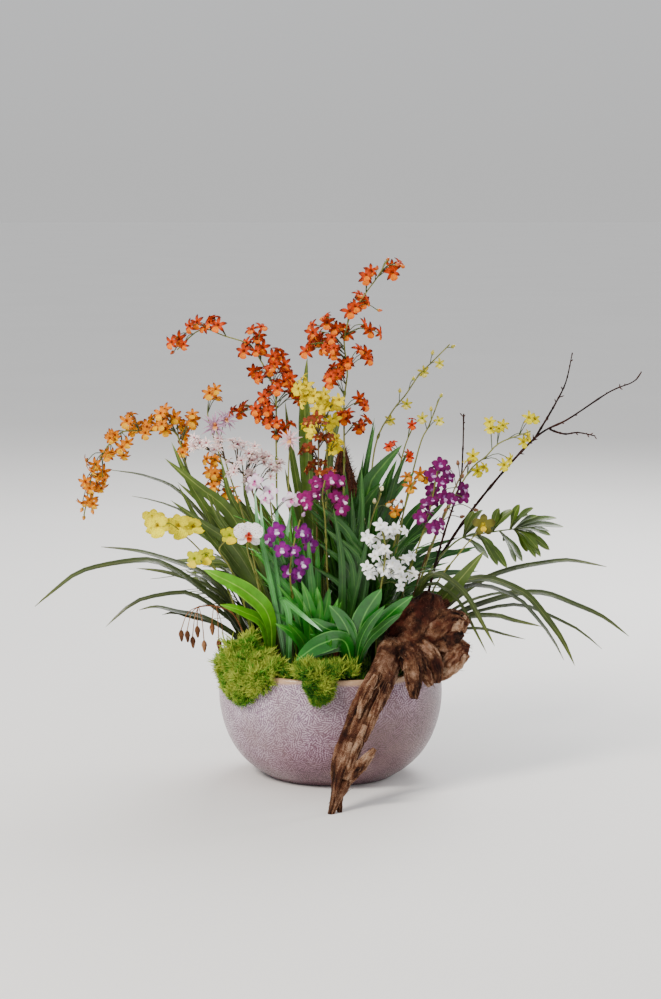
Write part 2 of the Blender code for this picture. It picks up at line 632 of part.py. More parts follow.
# Sprays: root on the soil, stem and florets on the front elevation, depth of the tip, floret radius
SPRAYS = {
    "spray_amber_arch": dict(
        root=(-72, 36), tip_depth=64, size=12.5, petals=FIVE_AND_LIP,
        stem=((-120, 290), (-195, 410), (-215, 470), (-230, 512), (-268, 512), (-305, 512), (-325, 495),
              (-340, 470), (-355, 440), (-360, 410), (-365, 387)),
        florets=((-250, 538), (-230, 533), (-203, 528), (-217, 520), (-243, 515), (-215, 490),
                 (-270, 518), (-287, 520), (-300, 527), (-322, 505), (-308, 488), (-330, 478),
                 (-347, 463), (-335, 452), (-362, 437), (-345, 432), (-355, 410)),
        buds=((-368, 395), (-352, 392), (-365, 383))),
    "spray_amber_low": dict(
        root=(-84, 58), tip_depth=84, size=12.5, petals=FIVE_AND_LIP,
        stem=((-110, 300), (-150, 430), (-165, 480), (-180, 530), (-180, 552)),
        florets=((-178, 568), (-170, 470), (-178, 452), (-162, 445), (-172, 430), (-152, 420))),
    "spray_orange_arch": dict(
        root=(-44, 46), tip_depth=116, size=13, petals=FIVE_AND_LIP,
        stem=((-75, 350), (-80, 485), (-80, 560), (-85, 580), (-100, 612), (-120, 640), (-155, 652),
              (-190, 662), (-225, 632)),
        florets=((-222, 648), (-195, 672), (-165, 668), (-105, 652), (-127, 630), (-100, 635),
                 (-85, 622), (-112, 600), (-88, 603), (-68, 610), (-60, 590), (-52, 572), (-78, 575),
                 (-98, 563), (-110, 545), (-132, 540), (-90, 525), (-68, 515), (-92, 545), (-48, 558)),
        buds=((-232, 628), (-216, 636))),
    "spray_orange_upright": dict(
        root=(12, 34), tip_depth=34, size=13, petals=FIVE_AND_LIP,
        stem=((18, 350), (20, 455), (20, 515), (20, 560), (25, 600), (20, 645), (30, 685), (45, 705),
              (55, 720), (70, 740), (82, 762)),
        florets=((-5, 672), (-26, 657), (-35, 630), (-14, 645), (2, 650), (25, 655), (28, 688),
                 (47, 703), (52, 738), (90, 745), (57, 660), (52, 627), (5, 628), (18, 612), (0, 585),
                 (12, 598), (22, 530), (42, 560), (42, 518)),
        buds=((84, 764), (68, 752), (72, 690), (98, 757))),
    "spray_yellow_centre": dict(
        root=(-12, 6), tip_depth=-34, size=11, petals=FIVE_AND_LIP,
        stem=((-8, 350), (-5, 470), (-10, 540), (-25, 575)),
        florets=((-36, 578), (-28, 563), (-14, 560), (2, 550), (-18, 543), (4, 528), (-28, 512),
                 (8, 490))),
    "spray_yellow_right": dict(
        root=(96, 34), tip_depth=56, size=11, petals=FIVE_AND_LIP,
        stem=((150, 340), (200, 445), (230, 475), (250, 495), (295, 512)),
        florets=((210, 475), (217, 453), (236, 516), (254, 521), (292, 532), (284, 496), (256, 462))),
    "spray_pale_yellow_tall": dict(
        root=(44, 58), tip_depth=128, size=9, petals=FIVE_AND_LIP,
        stem=((55, 350), (65, 485), (90, 540), (110, 565), (130, 595), (150, 615), (175, 640)),
        florets=((160, 612), (137, 600), (112, 552), (88, 528)),
        buds=((102, 572), (180, 637), (150, 628), (122, 590))),
    "spray_pale_yellow_short": dict(
        root=(70, 50), tip_depth=92, size=9, petals=FIVE_AND_LIP,
        stem=((100, 350), (130, 485), (145, 520), (160, 560)),
        florets=((135, 531), (160, 527)), buds=((148, 545), (163, 565))),
    "spray_red_small": dict(
        root=(58, 22), tip_depth=26, size=9, petals=FIVE_AND_LIP,
        stem=((80, 350), (98, 440), (110, 490), (120, 515)),
        florets=((120, 521), (116, 474), (86, 489))),
    "spray_magenta_centre": dict(
        root=(-2, -46), tip_depth=-112, size=12, petals=FIVE_STAR,
        stem=((-5, 300), (-8, 380), (-12, 415), (-8, 440)),
        florets=((0, 441), (-24, 418), (-38, 412), (-14, 428), (8, 415), (16, 396))),
    "spray_violet_low": dict(
        root=(-48, -56), tip_depth=-126, size=13, petals=FIVE_STAR,
        stem=((-55, 250), (-60, 300), (-55, 340), (-45, 380)),
        florets=((-72, 335), (-80, 363), (-42, 362), (-30, 343), (-42, 315),
                 (-62, 303)), buds=((-40, 388),)),
    "spray_magenta_right": dict(
        root=(82, -14), tip_depth=-76, size=12, petals=FIVE_STAR,
        stem=((110, 280), (140, 370), (152, 420), (160, 465)),
        florets=((162, 463), (150, 447), (165, 436), (150, 424), (168, 414), (142, 404), (133, 384),
                 (196, 414), (152, 368))),
    "spray_bronze_right": dict(
        root=(64, -8), tip_depth=-34, size=11, petals=FIVE_AND_LIP,
        stem=((85, 300), (105, 380), (120, 430), (132, 452)),
        florets=((132, 448), (118, 430), (96, 393)), buds=((88, 405), (105, 408))),
    "spray_olive_right": dict(
        root=(104, -24), tip_depth=-56, size=17, petals=FIVE_STAR, tips=FULL,
        stem=((150, 270), (195, 335), (222, 365)), florets=((226, 372),)),
    "buds_right": dict(
        root=(98, 8), tip_depth=-4, size=8, petals=FIVE_STAR,
        stem=((130, 290), (165, 380), (185, 430), (205, 468)), florets=(),
        buds=((175, 458), (188, 465), (206, 466), (195, 445), (170, 395), (195, 385), (215, 395))),
    "buds_centre": dict(
        root=(40, -48), tip_depth=-64, size=8, petals=FIVE_STAR,
        stem=((45, 290), (58, 370), (75, 420)), florets=(),
        buds=((76, 427), (65, 408), (86, 402), (48, 382))),
    "spray_brown_centre": dict(
        root=(-22, -18), tip_depth=-66, size=11, petals=FIVE_STAR,
        stem=((-20, 350), (-18, 450), (-18, 525)),
        florets=((-20, 532), (-12, 502), (-32, 487), (-25, 462), (-6, 447))),
    "spray_white_stars": dict(
        root=(64, -78), tip_depth=-152, size=9.5, petals=FIVE_STAR, side=9.0,
        stem=((70, 240), (78, 300), (82, 335), (76, 365)),
        florets=((74, 372), (95, 366), (54, 355), (70, 352), (72, 338), (88, 358), (66, 326), (82, 328),
                 (54, 310), (76, 312), (92, 314), (110, 320), (60, 299), (90, 300), (105, 294),
                 (122, 300), (102, 306))),
    "bloom_mauve_spider": dict(
        root=(-84, 8), tip_depth=-40, size=22, petals=SPIDER_FIVE, tips=FULL, cup=0.2,
        stem=((-120, 350), (-150, 450), (-168, 512)), florets=((-170, 520),)),
    "bloom_pink_spider": dict(
        root=(-40, -8), tip_depth=-76, size=22, petals=SPIDER_FIVE, tips=FULL, cup=0.2,
        stem=((-55, 330), (-62, 430), (-60, 492)), florets=((-60, 500),)),
    "spray_pale_lace": dict(
        root=(-62, -24), tip_depth=-66, size=11, petals=SPIDER_FIVE, cup=0.18, side=12.0,
        stem=((-90, 330), (-115, 420), (-140, 460), (-195, 492)),
        florets=((-192, 494), (-165, 487), (-137, 492), (-102, 476), (-142, 456), (-112, 443),
                 (-120, 478), (-85, 455))),
    "blooms_pink_left": dict(
        root=(-68, -60), tip_depth=-78, size=12, petals=ROUND_FIVE,
        stem=((-75, 280), (-85, 370), (-92, 415), (-110, 430)),
        florets=((-112, 437), (-58, 410), (-90, 422))),
    "bloom_white_moth": dict(
        root=(-90, -60), tip_depth=-128, size=22, petals=ROUND_FIVE, tips=FULL, cup=0.1,
        stem=((-105, 270), (-122, 330), (-124, 356)), florets=((-121, 357),)),
    "blooms_green_yellow": dict(
        root=(-104, -38), tip_depth=-96, size=14, petals=RUFFLED_FIVE,
        stem=((-130, 260), (-150, 310), (-165, 335), (-152, 352)),
        florets=((-150, 357), (-184, 327), (-202, 322))),
    "blooms_yellow_left": dict(
        root=(-116, -8), tip_depth=-60, size=21, petals=RUFFLED_FIVE, tips=FULL, cup=0.25,
        stem=((-150, 270), (-190, 330), (-225, 365)), florets=((-262, 380), (-226, 372)), side=6.0),
}

# Leaves by node: root, then (points, depth of the tip, width, shape, face) for each leaf
BACK = Vector((0.0, 1.0, 0.0))
OVER = (UP + FRONT * 0.6).normalized()
LEANING = Vector((0.5, -0.3, 0.8)).normalized()
LEAVES = {
    "leaves_strap_left": ((-104, 12), (
        (((-145, 235), (-195, 280), (-240, 310), (-280, 320), (-365, 305), (-410, 275),
          (-440, 250)), -64, 11),
        (((-150, 260), (-185, 297), (-215, 312), (-270, 330), (-300, 336), (-340, 340)), 70, 9),
        (((-135, 200), (-185, 232), (-230, 243), (-260, 250), (-285, 245)), 10, 9),
        (((-138, 215), (-165, 262), (-190, 290), (-215, 305)), 100, 9),
        (((-140, 310), (-215, 415), (-270, 445), (-325, 455)), 120, 6)), strap_width, OVER),
    "leaves_sword_left": ((-66, 12), (
        (((-95, 280), (-145, 385), (-195, 430), (-245, 472)), 0, 20),
        (((-105, 290), (-165, 370), (-205, 430), (-235, 497)), 24, 15),
        (((-90, 280), (-125, 370), (-150, 420), (-162, 472)), 10, 13)), lance_width, FRONT),
    "leaves_strap_right": ((112, -2), (
        (((150, 225), (180, 257), (225, 290), (270, 307), (310, 315), (350, 320), (380, 316),
          (410, 310)), 60, 9),
        (((165, 270), (205, 290), (235, 292), (270, 280), (295, 265), (320, 235), (345, 200),
          (365, 160)), -90, 12),
        (((155, 215), (185, 237), (225, 255), (280, 270), (320, 270), (360, 255), (405, 235),
          (445, 205)), -10, 10),
        (((150, 205), (180, 226), (215, 236), (250, 236), (270, 230), (315, 220)), -76, 9),
        (((130, 270), (150, 298), (170, 295), (200, 270), (222, 232),
          (245, 190)), -120, 9)), strap_width, OVER),
    "leaf_broad_right": ((100, -46), (
        (((125, 215), (170, 265), (200, 300), (228, 333)), -66, 20),), lance_width, FRONT),
    "leaves_tall_centre": ((34, 2), (
        (((45, 300), (55, 420), (75, 458), (106, 492)), -20, 32),
        (((55, 300), (78, 400), (86, 440), (98, 470)), 10, 22),
        (((38, 330), (48, 430), (58, 485), (66, 522)), 0, 12)), lance_width, FRONT),
    "leaves_dark_centre": ((18, -66), (
        (((35, 250), (38, 320), (25, 362), (-25, 407)), -96, 17),
        (((28, 260), (40, 340), (46, 395), (46, 457)), -80, 13)), lance_width, FRONT),
    "leaf_tall_back": ((-10, 62), (
        (((-25, 350), (-35, 480), (-38, 560), (-34, 622)), 72, 20),), lance_width, FRONT),
    "leaves_rosette_front": ((34, -104), (
        (((40, 200), (52, 240), (76, 277)), -128, 24),
        (((30, 198), (17, 230), (-2, 252)), -134, 19),
        (((22, 196), (-15, 193), (-52, 168)), -150, 22),
        (((55, 200), (90, 240), (122, 266)), -126, 18),
        (((15, 200), (-12, 220), (-30, 232)), -124, 17)), lance_width, FRONT),
    "leaves_rosette_middle": ((-26, -84), (
        (((-30, 215), (-42, 255), (-58, 282)), -110, 20),
        (((-22, 215), (-18, 250), (-20, 280)), -108, 22),
        (((-15, 205), (0, 225), (5, 252)), -112, 16)), lance_width, FRONT),
    "leaves_bright_left": ((-89, -78), (
        (((-90, 228), (-122, 270), (-188, 306)), -158, 27),
        (((-98, 218), (-130, 242), (-164, 253)), -130, 16)), lance_width, LEANING),
    "leaves_mint": ((-62, -96), (
        (((-80, 240), (-98, 330), (-108, 375), (-112, 428)), -104, 9),
        (((-72, 240), (-82, 320), (-86, 380)), -92, 8),
        (((-62, 235), (-72, 262), (-45, 240), (-12, 212)), -128, 10)), strap_width, FRONT),
    "leafy_shoot_right": ((96, 52), (), lance_width, OVER),
    "leaves_back_left": ((-58, 96), (
        (((-80, 280), (-120, 380), (-160, 430)), 150, 22),
        (((-85, 262), (-150, 315), (-220, 318)), 170, 18),
        (((-50, 280), (-45, 400), (-60, 470)), 150, 18)), lance_width, BACK),
    "leaves_back_right": ((52, 98), (
        (((75, 280), (110, 370), (150, 420)), 150, 22),
        (((80, 262), (140, 320), (210, 335)), 174, 18),
        (((40, 280), (40, 390), (52, 450)), 140, 18)), lance_width, BACK),
}

# Filling grass: root, number of leaves, seed, length, width, spread, azimuth and arc in degrees
GRASSES = {
    "grass_middle_left": ((-44, -32), 4, 21, 250, 9, 0.3, 215, 60),
    "grass_middle": ((20, -24), 4, 23, 265, 9, 0.26, 275, 110),
    "grass_middle_right": ((64, -34), 4, 25, 235, 9, 0.34, 320, 110),
    "grass_back": ((0, 112), 6, 3, 230, 8, 0.75, 90, 150),
    "grass_back_left": ((-104, 52), 5, 5, 210, 8, 0.8, 160, 80),
    "grass_back_right": ((78, 92), 4, 8, 200, 8, 0.6, 30, 60),
}

SHOOT_DEPTH = 40
SHOOT = ((135, 280), (185, 347), (240, 362), (305, 370))
SHOOT_LEAVES = ((335, 383), (345, 370), (325, 335), (312, 325), (262, 308), (235, 322), (270, 395),
                (225, 395),
                (300, 398), (285, 318))
TWIG_MAIN = ((120, 250), (185, 360), (245, 440), (305, 505), (350, 530), (410, 570), (445, 585),
             (457, 600))
TWIG_FORKS = (((300, 500), (315, 525), (332, 555), (346, 585), (355, 628)),
              ((325, 515), (345, 508), (365, 510), (390, 505)))
TWIG_DEPTH = 60
TWIG_UPRIGHT_DEPTH = 34
TWIG_UPRIGHT = ((160, 330), (190, 430), (195, 480), (196, 538))
POD_DEPTH = -36
PODS = ((-222, 206), (-213, 205), (-198, 212), (-188, 190), (-176, 216), (-166, 192), (-157, 178),
        (-205, 196))
BARK_DEPTH = 84
BARK_POST = ((14, 171), (16, 300), (18, 420), (18, 486))


def make_shoot(root, tip_depth):
    """A leafy shoot: lance leaves by turns along an arched stem."""
    points = route_from(root, SHOOT, tip_depth)
    fine = smooth_route(points, 60)
    shapes = [tube(points, 2.0, 1.0, 4)]
    for number, (x, h) in enumerate(SHOOT_LEAVES):
        turn = (-1, 1, 0.3, -0.5)[number % 4]
        tip = seen(x, h, tip_depth * 0.8 + 16 * turn)
        start = fine[max(4, nearest_on(fine, tip) - 9)]
        shapes.append(blade([start, start.lerp(tip, 0.5) + UP * 4 * MM, tip], 13, stalked_width, OVER))
    return shapes


def make_twigs(root):
    """The forked twig and its side shoots."""
    shapes = [tube(route_from(root, TWIG_MAIN, TWIG_DEPTH), 3.0, 0.9, 5)]
    for fork in TWIG_FORKS:
        shapes.append(tube([seen(x, h, TWIG_DEPTH + 7) for x, h in fork], 1.8, 0.8, 4))
    return shapes


def make_pods(root):
    """Hanging seed pods on thin arched stalks."""
    bend, hub = seen(-170, 250, POD_DEPTH), seen(-196, 250, POD_DEPTH)
    shapes = [tube([foot_of(root), seen(-140, 232, POD_DEPTH), bend, hub], 1.5, 1.2, 4)]
    for number, (x, h) in enumerate(PODS):
        place = seen(x, h, POD_DEPTH + (6, -7, 3, -4)[number % 4])
        start = hub if x < -185 else bend
        shapes.append(bud(start, place, Vector((0.05, 0, -1)), 19, 3.4))
    return shapes


ROOTED_TWIGS = {"twig_forked": (84, 72), "twig_upright": (118, 26), "pods_hanging": (-110, -24),
                "bark_post": (14, 84)}
BIG_PEG = {"bark_post": BARK_PEG}


def main():
    """Builds every sub-part."""
    for thing in list(bpy.data.objects):
        bpy.data.objects.remove(thing)
    glaze = new_material("lavender glaze", (0.36, 0.27, 0.36), 0.3)
    earth = new_material("dark soil", (0.05, 0.03, 0.02), 0.95)
    moss = new_material("green moss", (0.16, 0.25, 0.02), 0.95)
    wood = new_material("weathered wood", (0.16, 0.07, 0.04), 0.85)
    green = new_material("leaf green", (0.05, 0.16, 0.03), 0.45)
    petals = {
        "amber": new_material("amber petal", (0.9, 0.28, 0.01), 0.5),
        "orange": new_material("vermilion petal", (0.7, 0.12, 0.02), 0.5),
        "yellow": new_material("yellow petal", (0.85, 0.66, 0.02), 0.5),
        "red": new_material("red petal", (0.6, 0.06, 0.02), 0.5),
        "magenta": new_material("magenta petal", (0.28, 0.01, 0.17), 0.5),
        "violet": new_material("violet petal", (0.22, 0.02, 0.35), 0.5),
        "bronze": new_material("bronze petal", (0.3, 0.14, 0.03), 0.5),
        "olive": new_material("olive petal", (0.25, 0.25, 0.06), 0.5),
        "buds": new_material("bud skin", (0.4, 0.3, 0.15), 0.5),
        "brown": new_material("brown petal", (0.25, 0.08, 0.04), 0.5),
        "white": new_material("white petal", (0.9, 0.9, 0.88), 0.5),
        "mauve": new_material("mauve petal", (0.6, 0.4, 0.55), 0.5),
        "pink": new_material("pink petal", (0.8, 0.55, 0.6), 0.5),
        "pale": new_material("pale petal", (0.8, 0.72, 0.6), 0.5),
        "green": new_material("green petal", (0.55, 0.6, 0.1), 0.5),
    }
    bark = new_material("brown bark", (0.12, 0.05, 0.03), 0.9)

    make_bowl(glaze)
    roots = [(x, y, PEG_RADIUS) for x, y in (s["root"] for s in SPRAYS.values())]
    roots += [(*root, PEG_RADIUS) for root, *_ in LEAVES.values()]
    roots += [(*entry[0], PEG_RADIUS) for entry in GRASSES.values()]
    roots += [(*root, BIG_PEG.get(name, PEG_RADIUS)) for name, root in ROOTED_TWIGS.items()]
    roots.append((*WOOD_ROOT, WOOD_PEG))
    make_soil(roots, earth)
    moss_bank("moss_left", -163, -121, 131, 66, 36, 1, moss, 12, taper=0.45)
    moss_bank("moss_front", -118, -76, 128, 27, 20, 2, moss, 11, crossing=(5, 7))
    moss_bank("moss_right", -14, 24, 128, 12, 6, 3, moss, 7)
    moss_bank("moss_back", 50, 160, 128, 16, 14, 4, moss, 13)
    make_driftwood(wood)

    for name, entry in SPRAYS.items():
        colour = next(key for key in petals if key in name)
        settings = dict(entry)
        root = settings.pop("root")
        shapes = [peg(*root), *spray(root, settings.pop("stem"), settings.pop("tip_depth"),
                                     settings.pop("florets"), settings.pop("size"), settings.pop("petals"),
                                     **settings)]
        fuse(name, shapes, petals[colour])
    for name, (root, leaves, shape, face) in LEAVES.items():
        shapes = [peg(*root)]
        for number, (points, tip_depth, width) in enumerate(leaves):
            shapes.append(blade(route_from(root, points, tip_depth, number), width, shape, face))
        if name == "leafy_shoot_right":
            shapes += make_shoot(root, SHOOT_DEPTH)
        fuse(name, shapes, green)
    for name, (root, leaves, seed, length, width, spread, azimuth, arc) in GRASSES.items():
        fuse(name, [peg(*root), *grass(root, leaves, seed, length, width, spread, azimuth, arc)], green)
    forked = ROOTED_TWIGS["twig_forked"]
    fuse("twig_forked", [peg(*forked), *make_twigs(forked)], bark)
    upright = route_from(ROOTED_TWIGS["twig_upright"], TWIG_UPRIGHT, TWIG_UPRIGHT_DEPTH)
    fuse("twig_upright", [peg(*ROOTED_TWIGS["twig_upright"]), tube(upright, 2.4, 1.0, 5)], bark)
    pod_root = ROOTED_TWIGS["pods_hanging"]
    fuse("pods_hanging", [peg(*pod_root), *make_pods(pod_root)], petals["buds"])
    post = [(x, h, BARK_DEPTH) for x, h in BARK_POST]
    fuse("bark_post", [peg(*ROOTED_TWIGS["bark_post"], radius=BARK_PEG),
                       gnarled(post, (14, 16, 17, 9), 0.9, 8, 40, 0.2, 9)], bark)


main()
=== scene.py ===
"""Looks of an orchid arrangement in a glazed bowl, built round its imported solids.

Metres, +Z up, the front faces -Y. Each shape that repeats, such as a petal, a leaf blade or a moss
shoot, is modelled once as a blank with Blender's own tools. Copies of the blank are laid along
smooth routes, and every plant becomes one mesh that stands for its solid.
"""
from __future__ import annotations

import logging
import math
import random
from collections.abc import Callable, Sequence
from dataclasses import dataclass, field
from enum import Enum
from functools import lru_cache, partial

import bmesh
import bpy
import numpy as np
from mathutils import Matrix, Vector, noise


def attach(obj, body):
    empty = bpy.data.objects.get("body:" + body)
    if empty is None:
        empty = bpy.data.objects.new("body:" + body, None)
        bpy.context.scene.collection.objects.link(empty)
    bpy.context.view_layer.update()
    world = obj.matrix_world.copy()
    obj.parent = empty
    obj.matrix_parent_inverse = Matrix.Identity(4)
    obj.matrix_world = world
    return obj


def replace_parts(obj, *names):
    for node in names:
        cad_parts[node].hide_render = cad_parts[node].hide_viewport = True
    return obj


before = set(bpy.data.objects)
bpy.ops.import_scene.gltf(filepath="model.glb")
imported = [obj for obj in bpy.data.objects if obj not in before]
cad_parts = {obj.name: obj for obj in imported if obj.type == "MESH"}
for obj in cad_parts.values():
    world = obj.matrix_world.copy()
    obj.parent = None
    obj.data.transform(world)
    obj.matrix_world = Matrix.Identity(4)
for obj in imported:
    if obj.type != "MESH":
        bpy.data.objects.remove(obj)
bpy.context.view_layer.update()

logging.basicConfig(level=logging.INFO, format="%(message)s")
LOG = logging.getLogger("arrangement")

MM = 0.001
UV_NAME = "petal_map"
UP = Vector((0.0, 0.0, 1.0))
FRONT = Vector((0.0, -1.0, 0.0))
BACK = Vector((0.0, 1.0, 0.0))
OVER = (UP + FRONT * 0.6).normalized()
LEANING = Vector((0.42, -0.72, 0.55)).normalized()
STALK_FACE = FRONT + UP * 0.1

# The photograph's camera, in metres, degrees and pixels, and a full-frame sensor in millimetres
EYE = Vector((0.0, -3.665, 0.893))
EYE_PITCH = 82.5
FOCAL_PIXELS = 2500.0
PHOTO_HEIGHT = 999.0
SENSOR = 36.0

# The same bowl as the solid's, as radius and height in millimetres
BELLY_RADIUS = 166.0
OUTER_WALL = ((95, 0), (100, 3), (119, 16), (138, 35), (154, 63), (164, 98), (166, 131), (161, 166))
RIM_ROUND = ((160.2, 168.6), (158.6, 169.8), (156.5, 170), (154.4, 169.6), (153.2, 168))
INNER_WALL = ((153.4, 158), (155, 150), (156, 115), (145, 68), (100, 11), (0, 11))
SOIL_TOP = 150.0
SOIL_RADIUS = 148.0

# How a plant leaves its root, as in the solid, in millimetres and radians
FOOT_HEIGHT = SOIL_TOP + 6.0 * 0.6
FOOT_DROP = 0.4
FOOT_SPREAD = 1.6
LEAF_TURN = 2.4
STEM_STEP = 46.0

# How strongly a rail's normal keeps to the one before it, and where along a blade its twist is nil
KEEP_TURN = 2.5
TWIST_FROM = 0.3

# A wave texture's period is this share of its scaled unit
WAVE_PERIOD = 0.314
LEAF_VEINS = 15.0

Point = tuple[float, float]
Colour = tuple[float, float, float, float]
AddNode = Callable[..., bpy.types.Node]


# Colours and shader nodes
def linear(colour: str) -> Colour:
    """Turns an sRGB hex value to linear.

    Args:
        colour: A hex value such as "#A994A8".

    Returns:
        Red, green, blue and alpha.
    """
    channels = [int(colour[i:i + 2], 16) / 255 for i in (1, 3, 5)]
    red, green, blue = (c / 12.92 if c <= 0.04045 else ((c + 0.055) / 1.055) ** 2.4 for c in channels)
    return red, green, blue, 1.0


def connect(node: bpy.types.Node, inputs: dict | Sequence) -> None:
    """Sets or links inputs of a node.

    Args:
        node: The node.
        inputs: Values or sources, by name or in the order of the inputs that are in use. A node as a source
            stands for its first output in use.
    """
    sockets = [s for s in node.inputs if s.enabled]
    if isinstance(inputs, dict):
        named = {s.name: s for s in sockets}
        pairs = [(named[key], value) for key, value in inputs.items()]
    else:
        pairs = zip(sockets, inputs)
    for socket, value in pairs:
        if isinstance(value, bpy.types.Node):
            value = next(s for s in value.outputs if s.enabled)
        if isinstance(value, bpy.types.NodeSocket):
            node.id_data.links.new(value, socket)
        else:
            socket.default_value = value


def add_node(tree: bpy.types.NodeTree, kind: str, inputs: dict | Sequence = (),
             stops: Sequence[tuple[float, str]] = (), **settings: object) -> bpy.types.Node:
    """Adds a node with its settings, values and links.

    Args:
        tree: The material's node tree.
        kind: The node's type, without its first word.
        inputs: Values or sources for connect.
        stops: Places and hex colours of a colour ramp, from its start to its end.
        settings: Properties of the node.

    Returns:
        The new node.
    """
    node = tree.nodes.new(f"ShaderNode{kind}")
    for key, value in settings.items():
        setattr(node, key, value)
    connect(node, inputs)
    # A new ramp has two stops, so they take the first and the last place
    for number, (place, colour) in enumerate((*stops[:1], *stops[-1:], *stops[1:-1])):
        ramp = node.color_ramp.elements
        stop = ramp[number] if number < 2 else ramp.new(place)
        stop.position, stop.color = place, linear(colour)
    return node


@dataclass(frozen=True)
class Finish:
    """A material of the arrangement."""

    name: str

    def surface(self, add: AddNode) -> dict:
        """Builds the finish's own nodes and returns the shader's inputs by name."""
        raise NotImplementedError

    @lru_cache(maxsize=None)
    def material(self) -> bpy.types.Material:
        """Makes the material once.

        Returns:
            The material.
        """
        material = bpy.data.materials.new(self.name)
        material.use_nodes = True
        shader = material.node_tree.nodes["Principled BSDF"]
        connect(shader, {"Coat Roughness": 0.17, "Subsurface Radius": (0.6, 0.5, 0.3),
                         "Subsurface Scale": 1.5 * MM})
        connect(shader, self.surface(partial(add_node, material.node_tree)))
        return material


@dataclass(frozen=True)
class PetalFinish(Finish):
    """Living petal tissue: waxy cells that let light through, with veins from throat to tip."""

    throat: str
    body: str
    tip: str
    lip: str
    lip_edge: str
    speck: str
    specks: float
    tip_start: float = 0.62

    def surface(self, add: AddNode) -> dict:
        """Reads the petal's own map: x across it and y towards its tip.

        Args:
            add: Adds a node to the material.

        Returns:
            The shader's inputs by name.
        """
        place = add("UVMap", uv_map=UV_NAME)
        along = add("SeparateXYZ", (place,)).outputs["Y"]
        part, tone = (add("Attribute", attribute_name=key).outputs["Fac"] for key in ("part", "tone"))
        petal = add("ValToRGB", (along,), ((0.0, self.throat), (0.22, self.body),
                                           (self.tip_start, self.body), (0.9, self.tip)))
        lip = add("ValToRGB", (along,), ((0.05, self.throat), (0.28, self.lip), (0.75, self.lip),
                                         (1.0, self.lip_edge)))
        base = add("Mix", (part, petal, lip), data_type="RGBA")
        # Nine veins across the petal, a little wavy
        waves = add("TexWave", {"Vector": place, "Scale": 2.8, "Distortion": 1.2, "Detail": 1.0})
        veins = waves.outputs["Fac"]
        dark = add("MapRange", (veins, 0.0, 1.0, 0.82, 1.06))
        # Small blotches near the throat, as on a spotted petal
        blot = add("TexVoronoi", {"Vector": place, "Scale": 7.0})
        near = add("MapRange", (blot, 0.12, 0.3, self.specks, 0.0))
        spotted = add("Mix", (near, base, linear(self.speck)), data_type="RGBA")
        level = add("MapRange", (tone, 0.0, 1.0, 0.8, 1.12))
        value = add("Math", (dark, level), operation="MULTIPLY")
        shade = add("HueSaturation", {"Color": spotted, "Value": value})
        relief = add("Bump", {"Height": veins, "Strength": 0.35, "Distance": 0.3 * MM})
        return {"Roughness": 0.55, "Subsurface Weight": 0.15, "Specular IOR Level": 0.14,
                "Base Color": shade, "Normal": relief}


@dataclass(frozen=True)
class LeafFinish(Finish):
    """A living leaf: parallel veins, a paler midrib, a waxy skin that shines and painted shade towards its
    foot.
    """

    # The foot's colour darkens each leaf towards its base: painted shade where the leaves crowd; on buds it
    # is their own base colour
    foot: str
    blade: str
    tip: str
    rib: str
    roughness: float
    coat: float
    margin: float = 0.0

    def surface(self, add: AddNode) -> dict:
        """Reads the leaf's own map: x across it and y towards its tip.

        Args:
            add: Adds a node to the material.

        Returns:
            The shader's inputs by name.
        """
        place = add("UVMap", uv_map=UV_NAME)
        axes = add("SeparateXYZ", (place,))
        solid = add("TexCoord").outputs["Object"]
        tone = add("Attribute", attribute_name="tone").outputs["Fac"]
        # Painted shade: darker towards the foot of each leaf
        along = add("ValToRGB", (axes.outputs["Y"],), ((0.12, self.foot), (0.45, self.blade),
                                                       (0.8, self.blade), (1.0, self.tip)))
        # A pale rib along the middle and, on some leaves, a pale margin
        off = add("Math", (axes.outputs["X"], 0.5), operation="SUBTRACT")
        away = add("Math", (off,), operation="ABSOLUTE")
        rib = add("MapRange", (away, 0.012, 0.05, 0.6, 0.0))
        edge = add("MapRange", (away, 0.41, 0.47, 0.0, self.margin))
        pale = add("Math", (rib, edge), operation="MAXIMUM")
        ribbed = add("Mix", (pale, along, linear(self.rib)), data_type="RGBA")
        veins = add("TexWave", {"Vector": place, "Scale": LEAF_VEINS * WAVE_PERIOD,
                                "Distortion": 0.3}).outputs["Fac"]
        fine = add("MapRange", (veins, 0.0, 1.0, 0.9, 1.08))
        # Mottling about 14 mm across
        mottle = add("TexNoise", {"Vector": solid, "Scale": 70.0, "Detail": 3.0})
        patch = add("MapRange", (mottle, 0.3, 0.7, 0.78, 1.2))
        level = add("MapRange", (tone, 0.0, 1.0, 0.62, 1.3))
        first = add("Math", (fine, patch), operation="MULTIPLY")
        value = add("Math", (first, level), operation="MULTIPLY")
        shade = add("HueSaturation", {"Color": ribbed, "Value": value})
        relief = add("Bump", {"Height": veins, "Strength": 0.3, "Distance": 0.3 * MM})
        return {"Roughness": self.roughness, "Coat Weight": self.coat, "Subsurface Weight": 0.1,
                "Specular IOR Level": 0.3, "Base Color": shade, "Normal": relief}


